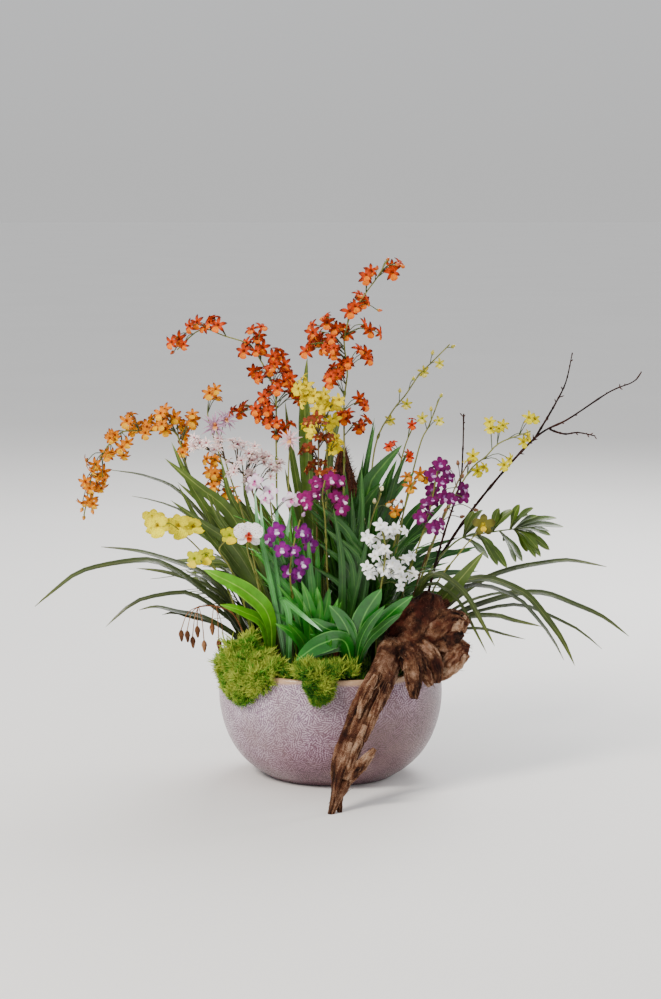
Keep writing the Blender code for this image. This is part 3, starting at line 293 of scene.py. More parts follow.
@dataclass(frozen=True)
class GlazeFinish(Finish):
    """Stoneware under a lavender glaze, scored all over with short strokes that cross like straw."""

    name: str = "scored stoneware glaze"
    hollows: tuple[str, str, str] = ("#34121C", "#60384A", "#80647E")
    crests: tuple[str, str, str] = ("#7C4E60", "#B090A2", "#DCCAD6")
    rim: str = "#BF9A78"
    clay: str = "#7A5F5A"

    @staticmethod
    def strokes(add: AddNode, solid: bpy.types.Node, patch: float, gap: float) -> bpy.types.Node:
        """Adds one layer of short parallel strokes, each patch of them with its own direction.

        Args:
            add: Adds a node to the material.
            solid: The node that gives the place and the normal.
            patch: The number of patches in a metre.
            gap: The distance between strokes in metres.

        Returns:
            A node whose first output is 1 on a stroke.
        """
        place = solid.outputs["Object"]
        patches = add("TexVoronoi", {"Vector": place, "Scale": patch})
        chance = add("VectorMath", (patches.outputs["Color"], (0.5, 0.5, 0.5)), operation="SUBTRACT")
        cross = add("VectorMath", (solid.outputs["Normal"], chance), operation="CROSS_PRODUCT")
        way = add("VectorMath", (cross,), operation="NORMALIZE")
        off = add("VectorMath", (place, patches.outputs["Position"]), operation="SUBTRACT")
        run = add("VectorMath", (off, way), operation="DOT_PRODUCT")
        jitter = add("TexNoise", {"Vector": place, "Scale": patch * 3.1, "Detail": 2.0})
        turn = add("Math", (run, math.tau / gap), operation="MULTIPLY")
        wobble = add("Math", (jitter, 1.3, turn), operation="MULTIPLY_ADD")
        wave = add("Math", (wobble,), operation="SINE")
        line = add("MapRange", (wave, -0.3, 0.6))
        broken = add("MapRange", (jitter, 0.4, 0.52, 0.1, 1.0))
        return add("Math", (line, broken), operation="MULTIPLY")

    def surface(self, add: AddNode) -> dict:
        """Reads the bowl's map, whose y is height in metres.

        Args:
            add: Adds a node to the material.

        Returns:
            The shader's inputs by name.
        """
        height = add("SeparateXYZ", (add("UVMap", uv_map=UV_NAME),)).outputs["Y"]
        solid = add("TexCoord")
        place = solid.outputs["Object"]
        # Strokes 3.6 mm apart in patches of 12 mm, and others 2.9 mm apart in patches of 9 mm over them:
        # coarser than the real ones, and about the finest that the render shows
        broad = self.strokes(add, solid, 84.0, 3.6 * MM)
        thin = self.strokes(add, solid, 112.0, 2.9 * MM)
        both = add("Math", (thin, 0.75, broad), operation="MULTIPLY_ADD")
        stroke = add("MapRange", (both, 0.15, 1.15))
        # The glaze runs thin and wine red towards the foot and pale under the rim, and painted shade
        # darkens it towards the right side, away from the key light
        clouds = add("TexNoise", {"Vector": place, "Scale": 15.0, "Detail": 4.0})
        side = add("SeparateXYZ", (place,)).outputs["X"]
        # Painted shade: the drift falls towards +X, so the right side takes the darker, wine red colours
        shaded_side = add("MapRange", (side, -0.05, 0.15, 0.02, -0.12))
        level = add("Math", (height, shaded_side), operation="ADD")
        drift = add("Math", (clouds, 0.14, level), operation="MULTIPLY_ADD")
        hollow, crest = (add("ValToRGB", (drift,), tuple(zip((0.075, 0.14, 0.22), colours)))
                         for colours in (self.hollows, self.crests))
        scored = add("Mix", (stroke, hollow, crest), data_type="RGBA")
        # Broad patches, about 110 mm across, where the clay warms the glaze
        warmth = add("TexNoise", {"Vector": place, "Scale": 9.0, "Detail": 5.0, "Roughness": 0.65})
        tan = add("MapRange", (warmth, 0.42, 0.66, 0.0, 0.6))
        warm = add("Mix", (tan, scored, linear(self.clay)), data_type="RGBA")
        # Bare clay shows along the rim
        edge = add("Math", (clouds, 0.012, height), operation="MULTIPLY_ADD")
        bare = add("MapRange", (edge, 0.1665, 0.1705))
        colour = add("Mix", (bare, warm, linear(self.rim)), data_type="RGBA")
        rough = add("MapRange", (stroke, 0.0, 1.0, 0.5, 0.28))
        relief = add("Bump", {"Height": stroke, "Strength": 0.8, "Distance": 0.6 * MM})
        return {"Coat Weight": 0.35, "Base Color": colour, "Roughness": rough, "Normal": relief}


@dataclass(frozen=True)
class WoodFinish(Finish):
    """Weathered wood or bark: fibres with dark cracks, tan where they are worn and red inside, with painted
    shade where it lies deep.
    """

    crack: str
    fibre: str
    worn: str
    bare: str
    red: str = "#6A2A1C"

    def surface(self, add: AddNode) -> dict:
        """Reads the limb's map: x round it in units of 5 mm and y along it in units of 100 mm.

        Args:
            add: Adds a node to the material.

        Returns:
            The shader's inputs by name.
        """
        place = add("UVMap", uv_map=UV_NAME)
        solid = add("TexCoord").outputs["Object"]
        part, tone = (add("Attribute", attribute_name=key).outputs["Fac"] for key in ("part", "tone"))
        # A grain of 0.1 mm by 2.4 mm, which shows as roughness, with patches of 24 mm and grit of 2.4 mm
        grain = add("Mapping", {"Vector": place, "Scale": (34.0, 26.0, 1.0)})
        fibres = add("TexNoise", {"Vector": grain, "Scale": 1.6, "Detail": 6.0, "Roughness": 0.7,
                                  "Distortion": 0.4})
        patches = add("TexNoise", {"Vector": solid, "Scale": 42.0, "Detail": 6.0, "Roughness": 0.6})
        fine = add("TexNoise", {"Vector": solid, "Scale": 420.0, "Detail": 3.0})
        # Weathered grey, tan and dark wood over the grain
        spread = add("Math", (patches, 0.8, -0.4), operation="MULTIPLY_ADD")
        worn = add("Math", (fibres, spread), operation="ADD")
        # The tone holds painted shade, dark where the wood lies deep and lighter where it stands out, over
        # a level for each piece
        level = add("MapRange", (tone, 0.0, 1.0, -0.22, 0.24))
        weather = add("Math", (worn, level), operation="ADD")
        colour = add("ValToRGB", (weather,), ((0.3, self.crack), (0.45, self.fibre), (0.6, self.worn),
                                              (0.74, self.bare)))
        warm = add("MapRange", (patches.outputs["Color"], 0.44, 0.6, 0.0, 0.8))
        reddish = add("Math", (warm, part), operation="MULTIPLY")
        mixed = add("Mix", (reddish, colour, linear(self.red)), data_type="RGBA")
        # Painted shade: the tone also darkens the value where the wood lies deep
        shadow = add("MapRange", (tone, 0.0, 0.6, 0.25, 1.2))
        grit = add("MapRange", (fine, 0.3, 0.7, 0.7, 1.25))
        # Thin cracks where the grain's noise passes its middle value
        off = add("Math", (fibres, 0.5), operation="SUBTRACT")
        gap = add("Math", (off,), operation="ABSOLUTE")
        crack = add("MapRange", (gap, 0.004, 0.03, 0.25, 1.0))
        dark = add("Math", (shadow, crack), operation="MULTIPLY")
        value = add("Math", (dark, grit), operation="MULTIPLY")
        shade = add("HueSaturation", {"Color": mixed, "Value": value})
        relief = add("Bump", {"Height": fibres, "Strength": 1.0, "Distance": 1.8 * MM})
        return {"Roughness": 0.85, "Specular IOR Level": 0.15, "Base Color": shade, "Normal": relief}


@dataclass(frozen=True)
class MossFinish(Finish):
    """Living moss: short matt leaves, yellow at the lit tips, with painted shade low down between the
    shoots.
    """

    # The darkest colour is painted shade, low between the shoots and on a bank's core
    deep: str
    green: str
    tip: str

    def surface(self, add: AddNode) -> dict:
        """Reads how bright a shoot is and how high on it a point lies.

        Args:
            add: Adds a node to the material.

        Returns:
            The shader's inputs by name.
        """
        solid = add("TexCoord").outputs["Object"]
        part, tone = (add("Attribute", attribute_name=key).outputs["Fac"] for key in ("part", "tone"))
        # Patches of another green about 20 mm across
        patches = add("TexNoise", {"Vector": solid, "Scale": 50.0, "Detail": 3.0})
        patch = add("MapRange", (patches, 0.35, 0.65, -0.28, 0.28))
        # Darker low on each shoot and lighter at its tip: painted shade between the shoots and painted
        # light on the tips
        high = add("Math", (part, 0.55, patch), operation="MULTIPLY_ADD")
        place = add("Math", (tone, 0.6, high), operation="MULTIPLY_ADD")
        colour = add("ValToRGB", (place,), ((0.1, self.deep), (0.5, self.green), (0.95, self.tip)))
        return {"Roughness": 0.85, "Subsurface Weight": 0.12, "Specular IOR Level": 0.15,
                "Base Color": colour}


@dataclass(frozen=True)
class SoilFinish(Finish):
    """A damp bark mix: dark crumbs with a few paler bits."""

    dark: str
    pale: str

    def surface(self, add: AddNode) -> dict:
        """Draws crumbs about 3 mm across.

        Args:
            add: Adds a node to the material.

        Returns:
            The shader's inputs by name.
        """
        tone = add("Attribute", attribute_name="tone").outputs["Fac"]
        solid = add("TexCoord").outputs["Object"]
        crumbs = add("TexNoise", {"Vector": solid, "Scale": 330.0, "Detail": 4.0})
        place = add("Math", (tone, 0.4, crumbs), operation="MULTIPLY_ADD")
        colour = add("ValToRGB", (place,), ((0.45, self.dark), (0.95, self.pale)))
        relief = add("Bump", {"Height": crumbs, "Strength": 0.8, "Distance": 1.0 * MM})
        return {"Roughness": 0.9, "Base Color": colour, "Normal": relief}


@dataclass(frozen=True)
class FloorFinish(Finish):
    """Pale matt plaster with a faint cloudiness."""

    name: str = "pale plaster floor"
    light: str = "#EFEDEA"
    dim: str = "#EDEBE8"

    def surface(self, add: AddNode) -> dict:
        """Draws clouds about 700 mm across.

        Args:
            add: Adds a node to the material.

        Returns:
            The shader's inputs by name.
        """
        solid = add("TexCoord").outputs["Object"]
        clouds = add("TexNoise", {"Vector": solid, "Scale": 1.4, "Detail": 2.0})
        colour = add("ValToRGB", (clouds,), ((0.35, self.dim), (0.65, self.light)))
        return {"Roughness": 0.75, "Base Color": colour}


# Finishes of the plants: a leaf's foot (darker with painted shade), blade, tip and rib, then its roughness
# and wax; a petal's throat, body, tip, lip, lip edge and specks; a wood's cracks, fibres, worn and bare
# wood and its red
STALK = LeafFinish("young flower stalk", "#3E4A1C", "#5C6A26", "#7A7A30", "#6E7A30", 0.5, 0.1)
DARK_STALK = LeafFinish("brown flower stalk", "#3A2A18", "#4E3A1E", "#6A5426", "#5A4420", 0.5, 0.1)
BUD_GREEN = LeafFinish("pale green bud", "#8E9A3A", "#C2B23A", "#D8C060", "#B8B860", 0.45, 0.15)
BUD_AMBER = LeafFinish("amber bud", "#9A7A1E", "#E08A18", "#B85A18", "#F0B040", 0.45, 0.15)
BUD_ORANGE = LeafFinish("vermilion bud", "#8A7A1E", "#C85A1C", "#8E3A18", "#E08040", 0.45, 0.15)
BUD_BROWN = LeafFinish("brown bud", "#5E4A28", "#7A4A2A", "#A8845A", "#8A6040", 0.5, 0.1)
BUD_CREAM = LeafFinish("cream bud", "#A8A060", "#D8CFA0", "#EDE6C8", "#E8E0B8", 0.45, 0.15)
BUD_VIOLET = LeafFinish("violet bud", "#7A8A50", "#B888B8", "#D8B8D8", "#C8A0C8", 0.45, 0.15)
AMBER = PetalFinish("amber petal", "#A83C00", "#E08400", "#6E2404", "#F2B200", "#E69A00", "#7A2808", 0.6,
                    0.5)
VERMILION = PetalFinish("vermilion petal", "#862204", "#C64000", "#440E04", "#EC7C00", "#D45400", "#4A1204",
                        0.8, 0.38)
YELLOW = PetalFinish("bright yellow petal", "#B08C00", "#EAD200", "#CCB000", "#F4DE00", "#E8CC00",
                     "#A04A10", 0.4)
WARM_YELLOW = PetalFinish("warm yellow petal", "#A88A00", "#E2D400", "#AC9404", "#EEE000", "#DCCC00",
                          "#8A3010", 0.5)
PALE_YELLOW = PetalFinish("pale green-yellow petal", "#8E9A14", "#D0C440", "#B0A028", "#F0E478", "#E0D048",
                          "#8A6A20", 0.3)
RED = PetalFinish("scarlet petal", "#981C04", "#CC3408", "#6E1406", "#F06808", "#D04408", "#5A120A", 0.5)
MAGENTA = PetalFinish("magenta petal", "#A868B0", "#72085A", "#500644", "#D8A8DC", "#7E1274", "#3E0636",
                      0.3)
MAGENTA_DEEP = PetalFinish("deep magenta petal", "#D89AD0", "#84085E", "#5A0644", "#F0D0E8", "#8A1468",
                           "#3E0630", 0.3)
VIOLET = PetalFinish("violet petal", "#E0C0EC", "#7C0E76", "#560860", "#F0DCF4", "#8A2294", "#3A0844", 0.3)
BRONZE = PetalFinish("bronze petal", "#8A6A1E", "#B86A10", "#6A300C", "#E8A818", "#C87E10", "#4A1E0C", 0.8)
OLIVE = PetalFinish("olive petal", "#D8C010", "#6E6A24", "#4E4A1A", "#F5D000", "#C8A010", "#3A2A10", 0.5)
BROWN = PetalFinish("red-brown petal", "#8A7A2A", "#8A3A18", "#4E2410", "#D89A3A", "#B8703A", "#3A160C",
                    0.8)
WHITE = PetalFinish("white petal", "#F0F2DC", "#FFFFFF", "#FFFFFF", "#FFFFFF", "#FCFAEC", "#E0D8A0", 0.0)
MOTH_WHITE = PetalFinish("white moth petal", "#C8382A", "#FDFAF8", "#FBF4F6", "#D83A1A", "#E89050",
                         "#8E1420", 1.0)
MAUVE = PetalFinish("mauve petal", "#D88A50", "#B890AA", "#CBA8BE", "#E89A50", "#E8C0A8", "#7A3A5A", 0.3)
PINK = PetalFinish("pale pink petal", "#E0B0A0", "#F0C8D0", "#F0CCD0", "#F0A860", "#F0D0C0", "#A85A7A",
                   0.3)
PINK_BLOOM = PetalFinish("pink-white petal", "#C84A9A", "#F2E2EE", "#DCA8D0", "#D870B0", "#E8A8C8",
                         "#A8208A", 0.8)
LACE = PetalFinish("pinkish lace petal", "#B86A72", "#F0D6D4", "#F6E4DE", "#F8F0E8", "#F0D8D0", "#A05A62",
                   0.3)
GREEN_YELLOW = PetalFinish("green-yellow petal", "#7E9200", "#C6C800", "#BCB400", "#ECD800", "#E4C200",
                           "#B8601A", 0.5)
RUFFLED_YELLOW = PetalFinish("ruffled yellow petal", "#A89000", "#E6DA00", "#D2C000", "#F2E600", "#E6D400",
                             "#A84A10", 0.6)
DARK_LEAF = LeafFinish("dark green leaf", "#101E0A", "#1E5212", "#2C6418", "#5C8C38", 0.36, 0.2)
SWORD_LEAF = LeafFinish("olive sword leaf", "#26300E", "#465E18", "#566A1E", "#8A984A", 0.38, 0.15)
OLIVE_LEAF = LeafFinish("olive strap leaf", "#20280E", "#364416", "#4E561C", "#747A3C", 0.38, 0.15)
GLOSSY_LEAF = LeafFinish("glossy green leaf", "#062008", "#0E5E08", "#227C12", "#6CB650", 0.2, 0.6,
                         margin=0.5)
FRESH_LEAF = LeafFinish("fresh green leaf", "#10300A", "#26841A", "#46A022", "#74B848", 0.3, 0.45)
MINT_LEAF = LeafFinish("mint coloured leaf", "#0C2A0A", "#3A8434", "#B4E8BC", "#6CB070", 0.3, 0.4)
BRIGHT_LEAF = LeafFinish("bright young leaf", "#16300A", "#549C08", "#6CB410", "#A0D048", 0.38, 0.15,
                         margin=0.35)
SHADE_GRASS = LeafFinish("shaded grass leaf", "#101C08", "#245012", "#3A7418", "#5C8C38", 0.4, 0.1)
ROOT_WOOD = WoodFinish("weathered root wood", "#100806", "#3A1E14", "#7A5034", "#B8987C", "#5E2618")
TREE_FERN = WoodFinish("tree-fern fibre", "#160C08", "#402419", "#6E4028", "#94603C")
TWIG_BARK = WoodFinish("twig bark", "#1A0F0C", "#3B2320", "#57392E", "#7A5A48")
POD_SKIN = WoodFinish("dry pod skin", "#3A2014", "#7A4A2E", "#A06A44", "#C89A70", "#6A3420")


# Routes, read the same way as the solid's
def seen(x: float, height: float, depth: float) -> Vector:
    """Sets a point of the front elevation forward or back along the line of sight.

    Args:
        x: Distance right of the middle in millimetres.
        height: Height in millimetres.
        depth: The y in millimetres that the point is moved to.

    Returns:
        The point in metres.
    """
    drawn = Vector((x, 0.0, height)) * MM
    reach = (depth * MM - EYE.y) / -EYE.y
    return EYE + (drawn - EYE) * reach


def smooth_route(points: Sequence[Vector], count: int) -> list[Vector]:
    """Reads points off a smooth curve through the given ones.

    Args:
        points: At least two points.
        count: The number of spans.

    Returns:
        count + 1 points.
    """
    ends = [points[0] * 2 - points[1], *points, points[-1] * 2 - points[-2]]
    lengths = [(b - a).length for a, b in zip(points, points[1:])]
    total = sum(lengths)
    route = []
    for step in range(count + 1):
        along = total * step / count
        span = 0
        while span < len(lengths) - 1 and along > lengths[span]:
            along -= lengths[span]
            span += 1
        t = min(along / lengths[span], 1.0)
        p0, p1, p2, p3 = ends[span:span + 4]
        route.append(0.5 * (2 * p1 + (p2 - p0) * t + (2 * p0 - 5 * p1 + 4 * p2 - p3) * t ** 2
                            + (3 * p1 - p0 - 3 * p2 + p3) * t ** 3))
    return route


def steps_along(points: Sequence[Vector], step: float) -> int:
    """Counts the spans, each about a step in millimetres long, along a route: at least two."""
    length = sum((b - a).length for a, b in zip(points, points[1:]))
    return max(2, round(length / (step * MM)))


def foot_of(root: Point, number: int = 0) -> Vector:
    """Finds where a stem or leaf leaves its root.

    Args:
        root: The root's x and y in millimetres.
        number: The stem's or leaf's number.

    Returns:
        The point in metres, each a little beside the last.
    """
    turn = LEAF_TURN * number
    return Vector((root[0] + FOOT_SPREAD * math.cos(turn), root[1] + FOOT_SPREAD * math.sin(turn),
                   FOOT_HEIGHT - FOOT_DROP * number)) * MM


def route_from(root: Point, points: Sequence[Point], tip_depth: float, number: int = 0) -> list[Vector]:
    """Draws a plant's route: up out of its root, then through points of the front elevation.

    Args:
        root: The root's x and y in millimetres.
        points: x and height of each later point.
        tip_depth: The y that the route reaches at its tip.
        number: The stem's or leaf's number.

    Returns:
        The points in metres.
    """
    before = Vector((root[0], SOIL_TOP))
    runs = []
    for point in (Vector(p) for p in points):
        runs.append((point - before).length)
        before = point
    total = sum(runs)
    route, run = [foot_of(root, number)], 0.0
    for (x, height), length in zip(points, runs):
        run += length
        route.append(seen(x, height, root[1] + (tip_depth - root[1]) * (run / total)))
    return route


def nearest_on(route: Sequence[Vector], point: Vector) -> int:
    """Finds the number of the route's place that is nearest to a point in the front elevation."""
    return min(range(len(route)), key=lambda i: (route[i].x - point.x) ** 2 + (route[i].z - point.z) ** 2)


@dataclass
class Rail:
    """A smooth route with a direction, a normal and a side at each of its places."""

    points: np.ndarray
    along: np.ndarray
    normal: np.ndarray
    across: np.ndarray
    length: float

    @classmethod
    def through(cls, points: Sequence[Vector], face: Vector, count: int = 48) -> Rail:
        """Reads a rail off points.

        Args:
            points: The route's points in metres.
            face: The way that the upper side faces.
            count: The number of spans.

        Returns:
            The rail.
        """
        route = smooth_route(points, count)
        along = [(route[min(i + 1, count)] - route[max(i - 1, 0)]).normalized() for i in range(count + 1)]
        normals, before = [], Vector()
        for direction in along:
            normal = face - direction * face.dot(direction)
            before = (normal + (before - direction * before.dot(direction)) * KEEP_TURN).normalized()
            normals.append(before)
        length = sum((b - a).length for a, b in zip(route, route[1:]))
        sides = [d.cross(n) for d, n in zip(along, normals)]
        return cls(*(np.array(rows, float) for rows in (route, along, normals, sides)), length)

    def read(self, places: np.ndarray, rows: np.ndarray) -> np.ndarray:
        """Reads values between the rail's places.

        Args:
            places: Shares of the rail's length, from 0 to 1.
            rows: One of the rail's arrays.

        Returns:
            A row for each place.
        """
        spot = np.clip(places, 0, 1) * (len(rows) - 1)
        low = np.minimum(spot.astype(int), len(rows) - 2)
        share = (spot - low)[:, None]
        return rows[low] * (1 - share) + rows[low + 1] * share


@dataclass
class Blank:
    """A modelled shape as arrays, ready to be copied: points, faces, map, part values and slots."""

    points: np.ndarray
    loops: np.ndarray
    sizes: np.ndarray
    uvs: np.ndarray
    part: np.ndarray
    slots: np.ndarray

    @classmethod
    def take(cls, thing: bpy.types.Object) -> Blank:
        """Reads a modelled object into arrays and removes it.

        Args:
            thing: A mesh object in the blank's own unit space.

        Returns:
            The blank. Its map is x + 0.5 across and y along.
        """
        mesh = thing.data
        points = np.zeros(len(mesh.vertices) * 3)
        mesh.vertices.foreach_get("co", points)
        points = points.reshape(-1, 3)
        loops = np.zeros(len(mesh.loops), int)
        mesh.loops.foreach_get("vertex_index", loops)
        sizes = np.zeros(len(mesh.polygons), int)
        mesh.polygons.foreach_get("loop_total", sizes)
        uvs = np.stack([points[loops, 0] + 0.5, points[loops, 1]], 1)
        bpy.data.objects.remove(thing)
        return cls(points, loops, sizes, uvs, np.zeros(len(points)), np.zeros(len(sizes), int))

    @classmethod
    def join(cls, blanks: Sequence[Blank]) -> Blank:
        """Joins blanks into one.

        Args:
            blanks: The blanks, already in place.

        Returns:
            One blank.
        """
        starts = np.cumsum([0, *(len(b.points) for b in blanks[:-1])])
        return cls(np.concatenate([b.points for b in blanks]),
                   np.concatenate([b.loops + s for b, s in zip(blanks, starts)]),
                   *(np.concatenate([getattr(b, key) for b in blanks])
                     for key in ("sizes", "uvs", "part", "slots")))

    def shaped(self, points: np.ndarray, part: float | np.ndarray | None = None,
               slot: int | None = None, uvs: np.ndarray | None = None) -> Blank:
        """Copies the blank with new points.

        Args:
            points: One row for each point.
            part: The new part value.
            slot: The new material slot.
            uvs: A new map.

        Returns:
            The copy.
        """
        return Blank(points, self.loops, self.sizes, self.uvs if uvs is None else uvs,
                     self.part if part is None else np.zeros(len(points)) + part,
                     self.slots if slot is None else np.full(len(self.sizes), slot))

    def moved(self, matrix: Matrix) -> Blank:
        """Copies the blank through a matrix."""
        turn = np.array(matrix)
        return self.shaped(self.points @ turn[:3, :3].T + turn[:3, 3])


@dataclass(frozen=True)
class Lie:
    """How a flat blank lies along its rail: sizes in millimetres, other values as shares."""

    width: float
    thick: float
    fold: float
    ripple: float = 0.0
    waves: float = 2.0
    twist: float = 0.0


def lay(blank: Blank, rail: Rail, lie: Lie, part: float | None = None, slot: int | None = None) -> Blank:
    """Lays a flat blank along a rail.

    Args:
        blank: A blank with y from 0 to 1 along it, x within 0.5 of the middle and z as thickness.
        rail: The route.
        lie: The sizes and the way that it bends.
        part: The new part value.
        slot: The new material slot.

    Returns:
        The copy in metres.
    """
    x, y, z = blank.points.T
    width = lie.width * MM
    centre, along, normal, across = (rail.read(y, rows) for rows in (rail.points, rail.along, rail.normal,
                                                                     rail.across))
    angle = (lie.twist * (y - TWIST_FROM))[:, None]
    normal, across = (normal * np.cos(angle) + across * np.sin(angle),
                      across * np.cos(angle) - normal * np.sin(angle))
    edge = np.abs(x) * 2
    ripple = lie.ripple * width * np.sin(math.tau * lie.waves * y + np.sign(x)) * edge ** 2
    rise = edge * lie.fold * 0.5 * width + ripple + z * lie.thick * MM
    # A direction read between two of a sharp bend is short, and the blade stays as wide there
    short = np.maximum(np.linalg.norm(along, axis=1), 0.2)[:, None]
    points = centre + across * (x * width)[:, None] / short + normal * rise[:, None]
    return blank.shaped(points, part, slot)


def wrap(rod: Blank, rail: Rail, radii: Sequence[float], flat: float = 1.0,
         relief: Callable[[np.ndarray, np.ndarray, np.ndarray], np.ndarray] | None = None,
         part: float = 0.0, slot: int = 0) -> Blank:
    """Wraps a rod along a rail.

    Args:
        rod: A rod with y from 0 to 1 along it and a unit radius.
        rail: The route.
        radii: Radii in millimetres, evenly spaced along it.
        flat: Depth over width.
        relief: Gives a swell for each point from its place, its angle and the plain surface point.
        part: The new part value.
        slot: The new material slot.

    Returns:
        The copy in metres. Its map's x goes round the rod in units of 5 mm and its y along it in units of
        100 mm.
    """
    x, y, z = rod.points.T
    reach = np.hypot(x, z)
    angle = np.arctan2(z, x)
    radius = np.interp(y, np.linspace(0, 1, len(radii)), radii) * MM * reach
    centre, normal, across = (rail.read(y, rows) for rows in (rail.points, rail.normal, rail.across))
    ways = across * np.cos(angle)[:, None] + normal * (np.sin(angle) * flat)[:, None]
    points = centre + ways * radius[:, None]
    if relief:
        points = centre + ways * (radius * relief(y, angle, points))[:, None]
    turn = angle[rod.loops]
    uvs = np.stack([np.abs(turn) * float(np.mean(radii)) * 0.2, y[rod.loops] * rail.length * 10], 1)
    return rod.shaped(points, part, slot, uvs)


@dataclass
class Growth:
    """Gathers the copies of one piece and makes its mesh."""

    name: str
    blanks: list[Blank] = field(default_factory=list)
    tones: list[np.ndarray] = field(default_factory=list)

    def add(self, blank: Blank, tone: float | np.ndarray = 0.5) -> None:
        """Adds a copy that is in place, with its brightness from 0 to 1."""
        self.blanks.append(blank)
        self.tones.append(np.zeros(len(blank.points)) + tone)

    def scatter(self, blank: Blank, places: np.ndarray, tones: np.ndarray) -> None:
        """Adds many copies of a small blank, or none where every spot was left out.

        Args:
            blank: The blank in its own units.
            places: A 4 by 4 matrix for each copy.
            tones: A tone for each copy.
        """
        count, size = len(places), len(blank.points)
        if not count:
            return
        points = np.einsum("nij,pj->npi", places[:, :3, :3], blank.points) + places[:, None, :3, 3]
        loops = (blank.loops[None] + (np.arange(count) * size)[:, None]).ravel()
        self.blanks.append(Blank(points.reshape(-1, 3), loops, np.tile(blank.sizes, count),
                                 np.tile(blank.uvs, (count, 1)), np.tile(blank.part, count),
                                 np.tile(blank.slots, count)))
        self.tones.append(np.repeat(tones, size))

    def finish(self, slot: str, finishes: Sequence[Finish], replaced: Sequence[str],
               sharp: float = 60.0) -> None:
        """Makes the piece's object, hangs it under the root's empty, hides the CAD nodes that it stands for
        and logs its triangles.

        Args:
            slot: Not used.
            finishes: A finish for each of the mesh's slots.
            replaced: The CAD nodes that it stands for.
            sharp: Edges steeper than this many degrees stay sharp.
        """
        whole = Blank.join(self.blanks)
        name = f"{self.name}_fine" if self.name in replaced else self.name
        mesh = bpy.data.meshes.new(name)
        mesh.vertices.add(len(whole.points))
        mesh.vertices.foreach_set("co", whole.points.ravel())
        mesh.loops.add(len(whole.loops))
        mesh.loops.foreach_set("vertex_index", whole.loops)
        mesh.polygons.add(len(whole.sizes))
        mesh.polygons.foreach_set("loop_start", np.cumsum([0, *whole.sizes[:-1]]))
        mesh.polygons.foreach_set("material_index", whole.slots)
        mesh.update(calc_edges=True)
        mesh.uv_layers.new(name=UV_NAME).data.foreach_set("uv", whole.uvs.ravel())
        for key, values in (("part", whole.part), ("tone", np.concatenate(self.tones))):
            mesh.attributes.new(key, "FLOAT", "POINT").data.foreach_set("value", values)
        for finish in finishes:
            mesh.materials.append(finish.material())
        mesh.validate()
        mesh.shade_smooth()
        mesh.set_sharp_from_angle(angle=math.radians(sharp))
        thing = bpy.data.objects.new(name, mesh)
        bpy.context.scene.collection.objects.link(thing)
        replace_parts(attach(thing, "root"), *replaced)
        LOG.info("%s: %d triangles", name, int((whole.sizes - 2).sum()))


# Blanks, each modelled once, with the width of a row that is drawn in to a point
POINT_WIDTH = 0.001


class Sheet(Enum):
    """Outlines of flat blanks: width over length rows as (place, share of full width)."""

    NARROW_PETAL = ((0.0, 0.34), (0.2, 0.7), (0.45, 1.0), (0.68, 0.82), (0.86, 0.46), (1.0, 0.0))
    BROAD_PETAL = ((0.0, 0.3), (0.18, 0.68), (0.42, 0.97), (0.64, 1.0), (0.84, 0.74), (0.95, 0.4),
                   (1.0, 0.0))
    LIP = ((0.0, 0.2), (0.2, 0.3), (0.38, 0.52), (0.58, 0.9), (0.78, 1.0), (0.92, 0.82), (1.0, 0.45))
    RAY = ((0.0, 0.7), (0.25, 1.0), (0.6, 0.7), (1.0, 0.0))
    LANCE = ((0.0, 0.18), (0.12, 0.5), (0.3, 0.88), (0.5, 1.0), (0.7, 0.86), (0.86, 0.54), (0.95, 0.26),
             (1.0, 0.0))
    STRAP = ((0.0, 0.55), (0.12, 0.85), (0.3, 1.0), (0.62, 1.0), (0.82, 0.8), (0.94, 0.42), (1.0, 0.0))
    OVAL = ((0.0, 0.22), (0.15, 0.28), (0.32, 0.5), (0.5, 0.9), (0.66, 1.0), (0.82, 0.82), (0.93, 0.5),
            (1.0, 0.0))
    LEAFLET = ((0.0, 0.14), (0.15, 0.5), (0.45, 1.0), (0.75, 0.7), (1.0, 0.0))


